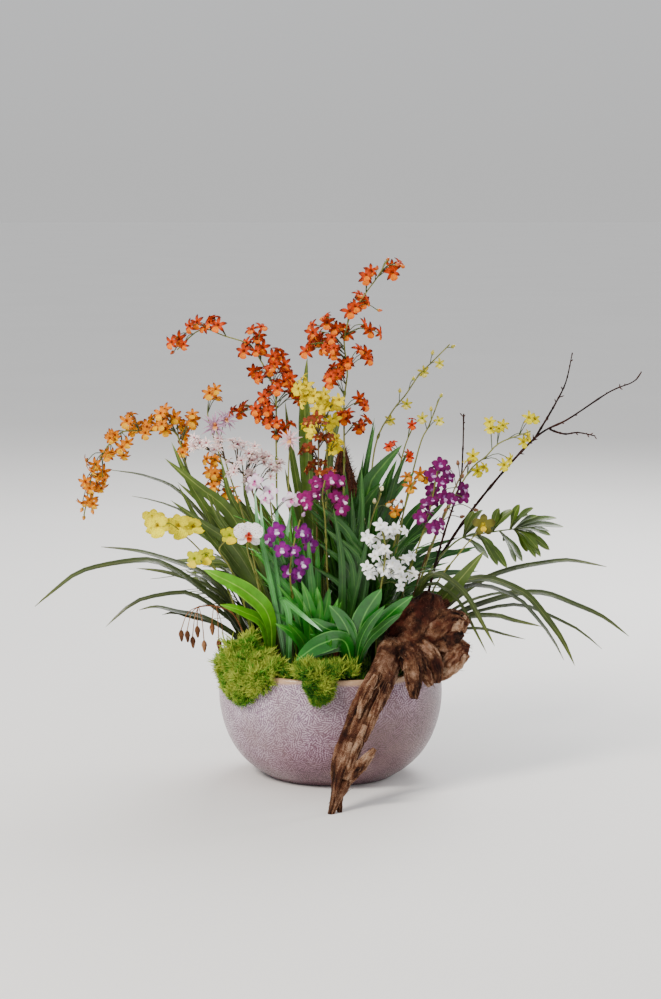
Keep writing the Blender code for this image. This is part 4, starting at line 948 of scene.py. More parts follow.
class Workshop:
    """Models each blank once with Blender's own tools and keeps it."""

    def __init__(self) -> None:
        """Empties the scene's selection, so that each tool acts on its own new object."""
        bpy.ops.object.select_all(action="DESELECT")

    @staticmethod
    def pick(thing: bpy.types.Object, chosen: Callable[[Vector], bool]) -> None:
        """Selects a mesh's points by a rule, in edit mode.

        Args:
            thing: The object in edit mode.
            chosen: The rule.
        """
        work = bmesh.from_edit_mesh(thing.data)
        for vert in work.verts:
            vert.select_set(chosen(vert.co))
        work.select_flush_mode()
        bmesh.update_edit_mesh(thing.data)

    @lru_cache(maxsize=None)
    def sheet(self, outline: Sheet, columns: int, rows: int) -> Blank:
        """Models a thin closed sheet: a grid, each row drawn in to the outline, then thickened.

        Args:
            outline: The sheet's outline.
            columns: Faces across.
            rows: Faces along.

        Returns:
            The blank, one unit long.
        """
        bpy.ops.mesh.primitive_grid_add(x_subdivisions=columns, y_subdivisions=rows, size=1,
                                        location=(0, 0.5, 0))
        thing = bpy.context.object
        bpy.ops.object.transform_apply(location=True)
        places, widths = zip(*outline.value)
        bpy.ops.object.mode_set(mode="EDIT")
        for row in range(rows + 1):
            place = row / rows
            width = max(float(np.interp(place, places, widths)), POINT_WIDTH)
            self.pick(thing, lambda co, at=place: abs(co.y - at) < 0.3 / rows)
            bpy.ops.transform.resize(value=(width, 1, 1), center_override=(0, place, 0))
            if width <= POINT_WIDTH:
                bpy.ops.mesh.merge(type="CENTER")
        bpy.ops.object.mode_set(mode="OBJECT")
        thicken = thing.modifiers.new("Thickness", "SOLIDIFY")
        thicken.thickness = 1.0
        thicken.offset = -1.0
        bpy.ops.object.modifier_apply(modifier=thicken.name)
        return Blank.take(thing)

    @lru_cache(maxsize=None)
    def rod(self, sides: int, rings: int) -> Blank:
        """Models a closed rod: a circle extruded along y step by step, with a face at each end.

        Args:
            sides: Faces round it.
            rings: Faces along it.

        Returns:
            The blank, one unit long with a unit radius.
        """
        bpy.ops.mesh.primitive_circle_add(vertices=sides, radius=1, fill_type="NGON",
                                          rotation=(math.radians(90), 0, 0))
        thing = bpy.context.object
        bpy.ops.object.transform_apply(rotation=True)
        bpy.ops.object.mode_set(mode="EDIT")
        bpy.ops.mesh.select_all(action="SELECT")
        for _ in range(rings):
            bpy.ops.mesh.extrude_region_move(TRANSFORM_OT_translate={"value": (0, 1 / rings, 0)})
        bpy.ops.mesh.select_all(action="SELECT")
        bpy.ops.mesh.normals_make_consistent(inside=False)
        bpy.ops.object.mode_set(mode="OBJECT")
        return Blank.take(thing)

    @lru_cache(maxsize=None)
    def bud(self, segments: int, rings: int) -> Blank:
        """Models a bud: a sphere drawn out to a point at its top.

        Args:
            segments: Faces round it.
            rings: Faces from pole to pole.

        Returns:
            The blank, from y 0 to 1 with a unit radius.
        """
        bpy.ops.mesh.primitive_uv_sphere_add(segments=segments, ring_count=rings, radius=1,
                                             rotation=(math.radians(-90), 0, 0))
        thing = bpy.context.object
        bpy.ops.object.transform_apply(rotation=True)
        bpy.ops.object.mode_set(mode="EDIT")
        self.pick(thing, lambda co: co.y > 0.2)
        bpy.ops.transform.resize(value=(0.78, 1.25, 0.78), center_override=(0, 0.2, 0))
        self.pick(thing, lambda co: co.y < -0.6)
        bpy.ops.transform.resize(value=(0.75, 1, 0.75), center_override=(0, -0.6, 0))
        bpy.ops.mesh.select_all(action="SELECT")
        bpy.ops.transform.translate(value=(0, 1, 0))
        bpy.ops.transform.resize(value=(1, 1 / 2.2, 1), center_override=(0, 0, 0))
        bpy.ops.object.mode_set(mode="OBJECT")
        return Blank.take(thing)

    @lru_cache(maxsize=None)
    def moss_shoot(self, leaflets: int) -> Blank:
        """Models a shoot of moss: a pointed stem with short leaves that spiral up and lean out.

        Args:
            leaflets: The number of leaves.

        Returns:
            The blank, one unit tall along z. Its part value is its height.
        """
        bpy.ops.mesh.primitive_cone_add(vertices=3, radius1=0.06, depth=1, location=(0, 0, 0.5),
                                        end_fill_type="NGON")
        parts = [bpy.context.object]
        for number in range(leaflets):
            height = 0.18 + 0.6 * number / leaflets
            lean = math.radians(56 - 36 * number / leaflets)
            bpy.ops.mesh.primitive_cone_add(vertices=3, radius1=0.055, depth=0.55, location=(0, 0, 0.275),
                                            end_fill_type="NGON")
            leaf = bpy.context.object
            bpy.ops.object.transform_apply(location=True)
            bpy.ops.transform.rotate(value=lean, orient_axis="Y", center_override=(0, 0, 0))
            bpy.ops.transform.rotate(value=LEAF_TURN * number, orient_axis="Z", center_override=(0, 0, 0))
            leaf.location.z += height
            parts.append(leaf)
        for part in parts:
            part.select_set(True)
        bpy.context.view_layer.objects.active = parts[0]
        bpy.ops.object.join()
        thing = bpy.context.object
        bpy.ops.object.transform_apply(location=True, rotation=True, scale=True)
        blank = Blank.take(thing)
        blank.part = np.clip(blank.points[:, 2], 0, 1)
        return blank

    @lru_cache(maxsize=None)
    def chip(self) -> Blank:
        """Models a bark chip: a bevelled block.

        Returns:
            The blank, about one unit long.
        """
        bpy.ops.mesh.primitive_cube_add(size=1, scale=(1, 0.6, 0.3))
        thing = bpy.context.object
        bpy.ops.object.transform_apply(scale=True)
        bpy.ops.object.mode_set(mode="EDIT")
        bpy.ops.mesh.select_all(action="SELECT")
        bpy.ops.mesh.bevel(offset=0.1, segments=1)
        bpy.ops.object.mode_set(mode="OBJECT")
        return Blank.take(thing)

    @lru_cache(maxsize=None)
    def fibre(self) -> Blank:
        """Models a torn wood fibre: a long three-sided spike.

        Returns:
            The blank, one unit long along z.
        """
        bpy.ops.mesh.primitive_cone_add(vertices=3, radius1=0.05, depth=1, location=(0, 0, 0.5),
                                        end_fill_type="NGON")
        thing = bpy.context.object
        bpy.ops.object.transform_apply(location=True)
        return Blank.take(thing)


SHOP = Workshop()


# Florets, each kind assembled once from petal sheets
@dataclass(frozen=True)
class PetalCut:
    """One petal of a floret: its angle from the top, its size and how it bends."""

    angle: float
    length: float
    width: float
    sheet: Sheet = Sheet.NARROW_PETAL
    rise: float = 0.1
    curl: float = -0.12
    part: float = 0.0
    fold: float = 0.3
    ripple: float = 0.0
    waves: float = 1.5
    columns: int = 2
    rows: int = 5


def ring(petals: Sequence[tuple[float, float, float]], *form: object) -> tuple[PetalCut, ...]:
    """Makes petals of one form from the angle, length and width of each and the values they share."""
    return tuple(PetalCut(*petal, *form) for petal in petals)


def rays(count: int, width: float, short: float) -> tuple[PetalCut, ...]:
    """Makes a starburst of narrow petals.

    Args:
        count: The number of petals.
        width: The width of each as a share of the radius.
        short: The length of every third one.

    Returns:
        The petals.
    """
    return tuple(PetalCut(360 * i / count + (7 if i % 2 else 0), short if i % 3 == 1 else 1.0, width,
                          Sheet.RAY, 0.1 if i % 2 else 0.3, 0.1 if i % 2 else -0.15)
                 for i in range(count))


BROAD, LIP = Sheet.BROAD_PETAL, Sheet.LIP


class Kind(Enum):
    """The kinds of floret, petal by petal, each with its lip last."""

    DANCING = (*ring(((0, 1.08, 0.44), (64, 1.06, 0.46))),
               *ring(((124, 0.98, 0.42), (236, 0.98, 0.42)), Sheet.NARROW_PETAL, 0.1, -0.25),
               *ring(((296, 1.06, 0.46),)),
               *ring(((180, 0.92, 0.85),), LIP, 0.22, -0.1, 1.0, 0.1, 0.07, 2.2, 4, 6))
    STAR = (*ring(((0, 1.0, 0.56), (72, 1.0, 0.58), (144, 0.98, 0.54), (216, 0.98, 0.54),
                   (288, 1.0, 0.58))),
            *ring(((180, 0.55, 0.42),), LIP, 0.32, 0.1, 1.0, 0.25, 0.05, 1.6))
    OPEN_STAR = (*ring(((0, 1.0, 0.62), (72, 1.0, 0.7), (144, 0.98, 0.62), (216, 0.98, 0.62),
                        (288, 1.0, 0.7)), BROAD, 0.1, -0.12, 0.0, 0.12, 0.03, 1.5, 4, 7),
                 *ring(((180, 0.56, 0.5),), LIP, 0.34, 0.1, 1.0, 0.25, 0.08, 1.6, 4, 6))
    MOTH = (*ring(((0, 0.85, 0.6),), BROAD, 0.08, -0.08, 0.0, 0.08, 0.02, 1.5, 4, 7),
            *ring(((125, 0.85, 0.55), (235, 0.85, 0.55)), BROAD, 0.02, -0.12, 0.0, 0.08, 0.02, 1.5, 4, 7),
            *ring(((64, 1.0, 0.98), (296, 1.0, 0.98)), BROAD, 0.14, 0.02, 0.0, 0.05, 0.05, 2.0, 6, 8),
            *ring(((150, 0.34, 0.26), (210, 0.34, 0.26)), LIP, 0.34, 0.3, 1.0, 0.4, 0.05, 1.6, 4, 5),
            *ring(((180, 0.52, 0.34),), LIP, 0.3, 0.06, 1.0, 0.3, 0.08, 1.6, 4, 6))
    RUFFLED = (*ring(((0, 0.85, 0.6), (60, 0.95, 0.7)), BROAD, 0.1, 0.0, 0.0, 0.05, 0.17, 3.2, 4, 9),
               *ring(((122, 0.9, 0.55), (238, 0.9, 0.55)), BROAD, 0.05, -0.1, 0.0, 0.05, 0.17, 3.2, 4, 9),
               *ring(((300, 0.95, 0.7),), BROAD, 0.1, 0.0, 0.0, 0.05, 0.17, 3.2, 4, 9),
               *ring(((180, 0.95, 1.05),), LIP, 0.3, 0.05, 1.0, 0.1, 0.13, 2.8, 6, 8))
    SPIDER = (*rays(14, 0.15, 0.82), *ring(((180, 0.4, 0.3),), LIP, 0.3, 0.1, 1.0, 0.25, 0.05, 1.6))
    LACE = (*rays(9, 0.3, 0.75), *ring(((180, 0.5, 0.4),), LIP, 0.3, 0.1, 1.0, 0.25, 0.1, 2.0))


@lru_cache(maxsize=None)
def floret(kind: Kind, variant: int) -> Blank:
    """Assembles a floret from its petals and a column.

    Args:
        kind: The kind of floret.
        variant: Which of its three forms: each petal differs a little.

    Returns:
        The blank, with a unit radius, facing +Z with its top towards +Y.
    """
    draw = random.Random(f"{kind.name} {variant}")
    pieces = []
    for cut in kind.value:
        turn = math.radians(cut.angle + draw.uniform(-7, 7))
        out = Vector((math.sin(turn), math.cos(turn), 0))
        long = cut.length * draw.uniform(0.92, 1.04)
        rise = cut.rise + draw.uniform(-0.05, 0.05)
        curl = cut.curl + draw.uniform(-0.12, 0.08)
        way = [out * 0.03, out * long * 0.5 + UP * rise, out * long + UP * (rise + curl)]
        rail = Rail.through(way, UP, 12)
        # Widths and thickness in thousandths of the radius
        lie = Lie(cut.width / MM, 42, cut.fold, cut.ripple, cut.waves, draw.uniform(-0.25, 0.25))
        pieces.append(lay(SHOP.sheet(cut.sheet, cut.columns, cut.rows), rail, lie, cut.part))
    knob = SHOP.bud(6, 4)
    column = knob.shaped(knob.points * (0.1, 0.3, 0.1), 1.0, uvs=knob.uvs * 0)
    pieces.append(column.moved(Matrix.Rotation(math.radians(65), 4, "X")))
    return Blank.join(pieces)


def aimed(place: Vector, facing: Vector, size: float, roll: float) -> Matrix:
    """Makes the matrix that sets a floret at its place.

    Args:
        place: Where its centre goes, in metres.
        facing: The way that it faces.
        size: Its radius in metres.
        roll: How far it is turned about its own axis, in radians.

    Returns:
        The matrix.
    """
    z = facing.normalized()
    x = (UP - z * UP.dot(z)).normalized().cross(z)
    turn = Matrix((x, z.cross(x), z)).transposed().to_4x4()
    return Matrix.Translation(place) @ turn @ Matrix.Rotation(roll, 4, "Z") @ Matrix.Scale(size, 4)


def grains(spots: np.ndarray, normals: np.ndarray, sizes: np.ndarray, draw: np.random.Generator,
           lean: float = 0.35) -> np.ndarray:
    """Makes matrices that stand small blanks on a surface.

    Args:
        spots: Points of the surface.
        normals: The way that each blank's z points.
        sizes: A scale for each.
        draw: The source of chance.
        lean: How far each one leans at random.

    Returns:
        A 4 by 4 matrix for each spot.
    """
    z = normals + draw.normal(0, lean, normals.shape)
    z /= np.linalg.norm(z, axis=1)[:, None]
    x = np.cross(z, draw.normal(0, 1, z.shape))
    x /= np.linalg.norm(x, axis=1)[:, None]
    places = np.zeros((len(spots), 4, 4))
    places[:, :3, 0], places[:, :3, 1], places[:, :3, 2] = x, np.cross(z, x), z
    places[:, :3, :3] *= sizes[:, None, None]
    places[:, :3, 3] = spots
    places[:, 3, 3] = 1
    return places


def rounded_node(name: str, levels: int = 1) -> Blank:
    """Copies a CAD node's mesh, closes its seams and rounds it.

    Args:
        name: The CAD node.
        levels: How often it is subdivided.

    Returns:
        The copy as a blank.
    """
    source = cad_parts[name]
    copy = bpy.data.objects.new(f"{name}_copy", source.data.copy())
    bpy.context.scene.collection.objects.link(copy)
    bpy.ops.object.select_all(action="DESELECT")
    copy.select_set(True)
    bpy.context.view_layer.objects.active = copy
    bpy.ops.object.mode_set(mode="EDIT")
    bpy.ops.mesh.select_all(action="SELECT")
    bpy.ops.mesh.remove_doubles(threshold=0.02 * MM)
    bpy.ops.object.mode_set(mode="OBJECT")
    if levels:
        smooth = copy.modifiers.new("Round", "SUBSURF")
        smooth.levels = levels
        bpy.ops.object.modifier_apply(modifier=smooth.name)
    return Blank.take(copy)


def surface_spots(blank: Blank, count: int, draw: np.random.Generator) -> tuple[np.ndarray, np.ndarray]:
    """Spreads points evenly over a blank's surface.

    Args:
        blank: A blank in metres.
        count: The number of points.
        draw: The source of chance.

    Returns:
        The points and their outward normals.
    """
    starts = np.cumsum([0, *blank.sizes[:-1]])
    first = np.repeat(starts, blank.sizes - 2)
    step = np.concatenate([np.arange(1, s - 1) for s in blank.sizes])
    corners = blank.points[np.stack([blank.loops[first], blank.loops[first + step],
                                     blank.loops[first + step + 1]], 1)]
    normals = np.cross(corners[:, 1] - corners[:, 0], corners[:, 2] - corners[:, 0])
    areas = np.linalg.norm(normals, axis=1)
    chosen = draw.choice(len(areas), count, p=areas / areas.sum())
    u, v = draw.random(count), draw.random(count)
    flip = u + v > 1
    u[flip], v[flip] = 1 - u[flip], 1 - v[flip]
    a, b, c = (corners[chosen, k] for k in range(3))
    return a + (b - a) * u[:, None] + (c - a) * v[:, None], normals[chosen] / areas[chosen, None]


# Pieces
@dataclass
class Piece:
    """A sub-assembly: it builds its mesh and reports it."""

    name: str

    def build(self) -> None:
        """Builds the piece."""
        raise NotImplementedError


@dataclass
class Bowl(Piece):
    """The turned bowl with its scored glaze and bare rim."""

    segments: int = 128
    rows: int = 44

    def profile(self) -> list[Vector]:
        """Returns the wall's outline in metres, from under the foot round to the floor inside."""
        outer = [Vector((r, 0, h)) * MM for r, h in OUTER_WALL]
        inner = [Vector((r, 0, h)) * MM for r, h in (*RIM_ROUND, *INNER_WALL)]
        return [Vector((0, 0, 0)), outer[0], *smooth_route(outer[1:], self.rows), *inner]

    def build(self) -> None:
        """Extrudes the outline and spins it round Z."""
        bpy.ops.mesh.primitive_plane_add(size=1)
        thing = bpy.context.object
        thing.name = self.name
        points = self.profile()
        bpy.ops.object.mode_set(mode="EDIT")
        bpy.ops.mesh.merge(type="CENTER")
        for a, b in zip(points, points[1:]):
            bpy.ops.mesh.extrude_region_move(TRANSFORM_OT_translate={"value": tuple(b - a)})
        bpy.ops.mesh.select_all(action="SELECT")
        bpy.ops.mesh.spin(steps=self.segments, angle=math.tau, center=(0, 0, 0), axis=(0, 0, 1))
        bpy.ops.mesh.select_all(action="SELECT")
        bpy.ops.mesh.remove_doubles(threshold=0.01 * MM)
        bpy.ops.mesh.normals_make_consistent(inside=False)
        bpy.ops.object.mode_set(mode="OBJECT")
        mesh = thing.data
        mesh.name = self.name
        layer = mesh.uv_layers.new(name=UV_NAME)
        for polygon in mesh.polygons:
            middle = math.atan2(polygon.center.y, polygon.center.x)
            for loop in polygon.loop_indices:
                spot = mesh.vertices[mesh.loops[loop].vertex_index].co
                turn = math.atan2(spot.y, spot.x)
                turn += math.tau * round((middle - turn) / math.tau)
                layer.data[loop].uv = (turn / math.tau, spot.z)
        mesh.materials.append(GlazeFinish().material())
        mesh.shade_smooth()
        mesh.set_sharp_from_angle(angle=math.radians(50))
        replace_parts(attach(thing, "root"), "bowl")
        LOG.info("%s: %d faces", self.name, len(mesh.polygons))


@dataclass
class Soil(Piece):
    """Bark mix in the bowl, nearly all of it under chips and a low carpet of moss."""

    chips: int = 400
    shoots: int = 2500
    heap_height: float = 3.0
    chip_size: tuple[float, float] = (6.0, 15.0)
    shoot_size: tuple[float, float] = (7.0, 13.0)

    def build(self) -> None:
        """Covers a copy of the solid with chips and moss."""
        draw = np.random.default_rng(5)
        growth = Growth(self.name)
        growth.add(rounded_node("soil", 0), 0.1)
        count = self.chips
        radius = SOIL_RADIUS * MM * np.sqrt(draw.random(count + self.shoots))
        turn = math.tau * draw.random(len(radius))
        x, y = radius * np.cos(turn), radius * np.sin(turn)
        # Low heaps about 35 mm across
        heap = np.array([max(noise.noise(Vector((a, b, 0.3)) * 28), 0) for a, b in zip(x, y)])
        spots = np.stack([x, y, (SOIL_TOP + 0.6 + self.heap_height * heap) * MM], 1)
        up = np.tile((0.0, 0.0, 1.0), (len(spots), 1))
        sizes = draw.uniform(*self.chip_size, count) * MM
        growth.scatter(SHOP.chip(), grains(spots[:count], up[:count], sizes, draw, 0.5),
                       draw.uniform(0, 0.9, count))
        sizes = draw.uniform(*self.shoot_size, self.shoots) * MM * (1 + heap[count:] * 1.2)
        shoot = SHOP.moss_shoot(4)
        growth.scatter(shoot.shaped(shoot.points, slot=1), grains(spots[count:], up[count:], sizes, draw),
                       draw.uniform(0.0, 0.5, self.shoots))
        bark = SoilFinish("damp bark mix", "#1A0F0A", "#6B4A32")
        carpet = MossFinish("low carpet moss", "#14210A", "#2F5A1C", "#5E8F1E")
        growth.finish("soil", (bark, carpet), ("soil",))


@dataclass
class MossBank(Piece):
    """A bank of moss: shoots stand all over a rounded core, painted dark as the shade under them."""

    shoots: int
    bright: tuple[float, float]
    finish: MossFinish
    height: tuple[float, float] = (5.0, 10.0)
    sink: float = 2.5
    lift: float = 5.5
    crown: float = 0.4
    leaflets: int = 5
    seed: int = 1

    def build(self) -> None:
        """Covers a rounded copy of the solid with shoots."""
        draw = np.random.default_rng(self.seed)
        growth = Growth(self.name)
        # Heaps about 30 mm and 11 mm across lift the core, which lies a little inside the solid
        core = rounded_node(self.name, 2)
        heaps = np.array([noise.noise(Vector(p) * 34) + 0.5 * noise.noise(Vector(p) * 90)
                          for p in core.points])
        outward = core.points - core.points.mean(0)
        outward /= np.linalg.norm(outward, axis=1)[:, None]
        core.points = core.points - outward * (self.sink - self.lift * heaps)[:, None] * MM
        # A tone of nil paints the core with the moss's darkest colour: painted shade under the shoots
        growth.add(core, 0.0)
        # No shoots on the side that rests against the bowl
        spots, normals = surface_spots(core, self.shoots * 2, draw)
        radius = np.hypot(spots[:, 0], spots[:, 1])
        facing_out = (spots[:, 0] * normals[:, 0] + spots[:, 1] * normals[:, 1]) / radius
        open_air = ((radius > BELLY_RADIUS * MM) & (facing_out > -0.2)) | (normals[:, 2] > 0.1)
        spots, normals = spots[open_air][:self.shoots], normals[open_air][:self.shoots]
        # Clumps of shoots about 15 mm across lean the same way, and all of them lean up
        tufts = np.array([noise.noise(Vector(s) * 75) for s in spots])
        normals = normals + 0.7 * np.array([noise.noise_vector(Vector(s) * 65) for s in spots])
        normals = normals + np.array((0, 0, 0.4))
        low, high = self.height
        sizes = (low + (high - low) * draw.random(len(spots))) * (1 + 0.45 * tufts) * MM
        sizes *= 1 + self.crown * np.maximum(normals[:, 2], 0) * np.clip(0.6 + 1.6 * tufts, 0, 1.6)
        tones = np.clip(draw.uniform(*self.bright, len(spots)) + 0.5 * tufts, 0, 1)
        places = grains(spots - normals * MM, normals, sizes, draw, 0.3)
        growth.scatter(SHOP.moss_shoot(self.leaflets), places, tones)
        growth.finish("moss", (self.finish,), (self.name,))


@dataclass
class BarkRelief:
    """The relief of weathered wood: long ridges, broken plates, cracks and gnarled lumps.

    It is called by wrap, and then knows which points lie deep.
    """

    seed: float
    deep: float
    swell: np.ndarray | None = None

    def __call__(self, place: np.ndarray, angle: np.ndarray, points: np.ndarray) -> np.ndarray:
        """Gives a swell for each point.

        Args:
            place: Shares of the rod's length.
            angle: Angles round it.
            points: Points of the plain rod, in metres.

        Returns:
            A factor of the radius for each point.
        """
        seed, swell = self.seed, np.zeros(len(place))
        for i, (y, a, spot) in enumerate(zip(place, angle, points)):
            spot = Vector(spot)
            twist = a + 0.8 * y
            ring = Vector((math.cos(twist), math.sin(twist), 0))
            lump = noise.noise(spot * 30 + Vector((seed, 0, 0)))
            ridge = 1 - abs(noise.noise(ring * 2.6 + Vector((seed * 1.7, 0, y * 1.5)))) * 2.6
            fine = 1 - abs(noise.noise(ring * 6.5 + Vector((0, seed, y * 3.5)))) * 2.4
            plate = noise.noise(ring * 3.2 + Vector((seed, y * 5.0, 0)))
            step = math.floor(plate * 5) / 5
            grit = noise.noise(spot * 230)
            swell[i] = 0.7 * lump + 0.5 * ridge + 0.34 * fine + 0.7 * step + 0.25 * grit
        self.swell = swell
        return 1 + self.deep * swell

    def tones(self, level: float) -> np.ndarray:
        """Gives a tone for each point around the tone of a middle depth: painted shade, dark where it lies
        deep and lighter where it stands out.
        """
        return np.clip(level + 0.42 * (self.swell - 0.35), 0.0, 1.0)


@dataclass(frozen=True)
class Limb:
    """One limb of the weathered root: elevation points, radii and depth over width."""

    points: tuple[tuple[float, float, float], ...]
    radii: tuple[float, ...]
    flat: float
    tone: float = 0.5
    red: float = 0.6
    fuzz: float = 1.0


WOOD_LIMBS = (
    Limb(((80, 172, -72), (100, 185, -80), (122, 208, -86), (142, 240, -88), (152, 270, -86)),
        (18, 30, 37, 31, 12), 0.8, 0.36, 1.0, 1.6),
    Limb(((118, 200, -86), (155, 216, -94), (184, 230, -98), (203, 222, -100)), (31, 26, 19, 8), 0.8, 0.5,
        0.9, 1.4),
    Limb(((126, 190, -88), (168, 192, -100), (206, 182, -106)), (26, 20, 9), 0.8, 0.55, 0.7, 1.0),
    Limb(((126, 178, -92), (160, 170, -106), (188, 164, -110)), (19, 13, 5), 0.6, 0.55, 0.6, 0.6),
    Limb(((105, 192, -96), (118, 172, -134), (126, 138, -156), (125, 110, -160)), (18, 16, 12, 5), 0.7, 0.5,
        0.5, 1.0),
    Limb(((120, 190, -100), (146, 172, -122), (158, 150, -132), (158, 134, -134)), (22, 18, 12, 5), 0.6,
        0.5, 0.5, 1.0),
    Limb(((112, 184, -112), (132, 162, -136), (141, 144, -144)), (17, 16, 7), 0.7, 0.42, 0.6, 1.0),
    Limb(((100, 190, -88), (88, 172, -126), (81, 156, -152), (72, 134, -174), (60, 108, -186),
        (47, 82, -192), (36, 55, -202), (25, 30, -213), (15, -18, -233), (6, -48, -247), (0, -68, -255)),
        (20, 19, 17, 18, 19, 18, 17, 17, 15, 8, 4), 0.68, 0.5, 0.45, 0.35),
    Limb(((22, -8, -229), (12, -40, -238), (14, -66, -246)), (9, 7, 3), 0.7, 0.45, 0.4, 0.3),
    Limb(((24, -18, -233), (46, 8, -232), (66, 34, -232)), (6, 8, 3), 0.6, 0.7, 0.2, 0.3),
    Limb(((105, 205, -80), (100, 240, -80), (112, 262, -82)), (18, 11, 4), 0.8, 0.3, 0.9, 1.4),
    Limb(((140, 225, -84), (166, 250, -82), (176, 258, -82)), (16, 10, 4), 0.8, 0.55, 0.9, 1.4),
    # Broken plates along the lower right edge, under the upper lobe, on the hanging lobe and down the leg
    Limb(((154, 138, -128), (172, 150, -122), (190, 166, -114), (203, 180, -108)), (5, 8, 9, 6), 0.5, 0.85,
        0.1, 0.1),
    Limb(((168, 156, -120), (184, 172, -116), (201, 192, -108)), (8, 10, 5), 0.5, 0.7, 0.5, 0.2),
    Limb(((176, 212, -106), (190, 220, -104), (203, 234, -100)), (8, 11, 6), 0.6, 0.85, 0.2, 0.2),
    Limb(((170, 196, -114), (184, 202, -112), (197, 210, -106)), (9, 10, 5), 0.5, 0.45, 0.6, 0.2),
    Limb(((116, 168, -142), (121, 142, -158), (123, 112, -168)), (7, 9, 4), 0.6, 0.6, 0.3, 0.5),
    Limb(((134, 160, -140), (142, 146, -146), (150, 130, -144)), (6, 8, 4), 0.6, 0.6, 0.5, 0.2),
    Limb(((68, 146, -186), (56, 122, -198), (46, 98, -206), (41, 80, -208)), (3, 6, 5, 2), 0.7, 0.72, 0.1,
        0.1),
    Limb(((84, 134, -184), (74, 108, -196), (60, 74, -204), (50, 44, -212)), (4, 6, 6, 3), 0.7, 0.6, 0.4,
        0.1),
    Limb(((52, 70, -208), (42, 46, -214), (30, 12, -228), (22, -14, -240)), (3, 6, 6, 3), 0.6, 0.8, 0.2,
        0.1),
    Limb(((30, 44, -220), (22, 18, -228), (12, -14, -242), (8, -40, -250)), (3, 5, 5, 2), 0.6, 0.65, 0.3,
        0.1),
)


@dataclass
class Driftwood(Piece):
    """The weathered root: rugged limbs and broken plates, with torn fibres and splinters."""

    fibres: int = 6000
    stout: float = 15.0

    def build(self) -> None:
        """Wraps a fine rod round each limb and adds fibres."""
        growth = Growth(self.name)
        draw = np.random.default_rng(11)
        for number, limb in enumerate(WOOD_LIMBS):
            rail = Rail.through([seen(*p) for p in limb.points], FRONT, 60)
            widest = max(limb.radii)
            rod, deep = (SHOP.rod(40, 76), 0.24) if widest > self.stout else (SHOP.rod(22, 34), 0.34)
            bark = BarkRelief(number * 3.1, deep)
            wood = wrap(rod, rail, limb.radii, limb.flat, bark, limb.red)
            wood.points[:, 2] = np.maximum(wood.points[:, 2], 0.3 * MM)
            # The tones paint shade into the limb's hollows
            growth.add(wood, bark.tones(limb.tone))
            # Torn fibres lie along the limb, either way, and lean out more where it is fuzzy
            # The full number would stand on a limb one metre long and 22 mm in radius
            share = int(self.fibres * limb.fuzz * widest * rail.length / 22)
            spots, normals = surface_spots(wood, share, draw)
            nearest = np.argmin(np.linalg.norm(spots[:, None] - rail.points[None, ::4], axis=2), axis=1) * 4
            upright = 0.25 + 0.5 * min(limb.fuzz, 1.2)
            way = normals * upright + rail.along[nearest] * draw.choice((-1.0, 1.0), share)[:, None]
            sizes = draw.uniform(4, 9 if limb.fuzz > 0.9 else 15, share) * MM
            keep = spots[:, 2] > sizes + 1 * MM
            fibre = SHOP.fibre()
            growth.scatter(fibre.shaped(fibre.points, limb.red),
                           grains((spots - normals * 0.8 * MM)[keep], way[keep], sizes[keep], draw, 0.22),
                           np.clip(draw.normal(limb.tone, 0.25, keep.sum()), 0, 1))
        growth.finish("root_wood", (ROOT_WOOD,), ("driftwood",))


@dataclass
class BarkPost(Piece):
    """The dark post of tree-fern fibre behind the flowers."""

    fibres: int = 3200

    def build(self) -> None:
        """Wraps a rod along the post and covers it with fibres."""
        draw = np.random.default_rng(12)
        growth = Growth(self.name)
        route = [seen(x, height, 84) for x, height in ((14, 171), (16, 300), (18, 420), (18, 486))]
        rail = Rail.through(route, FRONT, 40)
        bark = BarkRelief(9.0, 0.3)
        post = wrap(SHOP.rod(40, 90), rail, (14, 15, 16, 17, 17, 16, 5), 0.9, bark, 0.8)
        # The tones paint shade into the post's hollows
        growth.add(post, bark.tones(0.35))
        spots, normals = surface_spots(post, self.fibres, draw)
        way = normals * 0.7 + np.array((0, 0, 0.8))
        sizes = draw.uniform(6, 15, self.fibres) * MM
        growth.scatter(SHOP.fibre(), grains(spots - normals * MM, way, sizes, draw, 0.55),
                       draw.uniform(0.0, 0.8, self.fibres))
        growth.finish("bark", (TREE_FERN,), ("bark_post",))


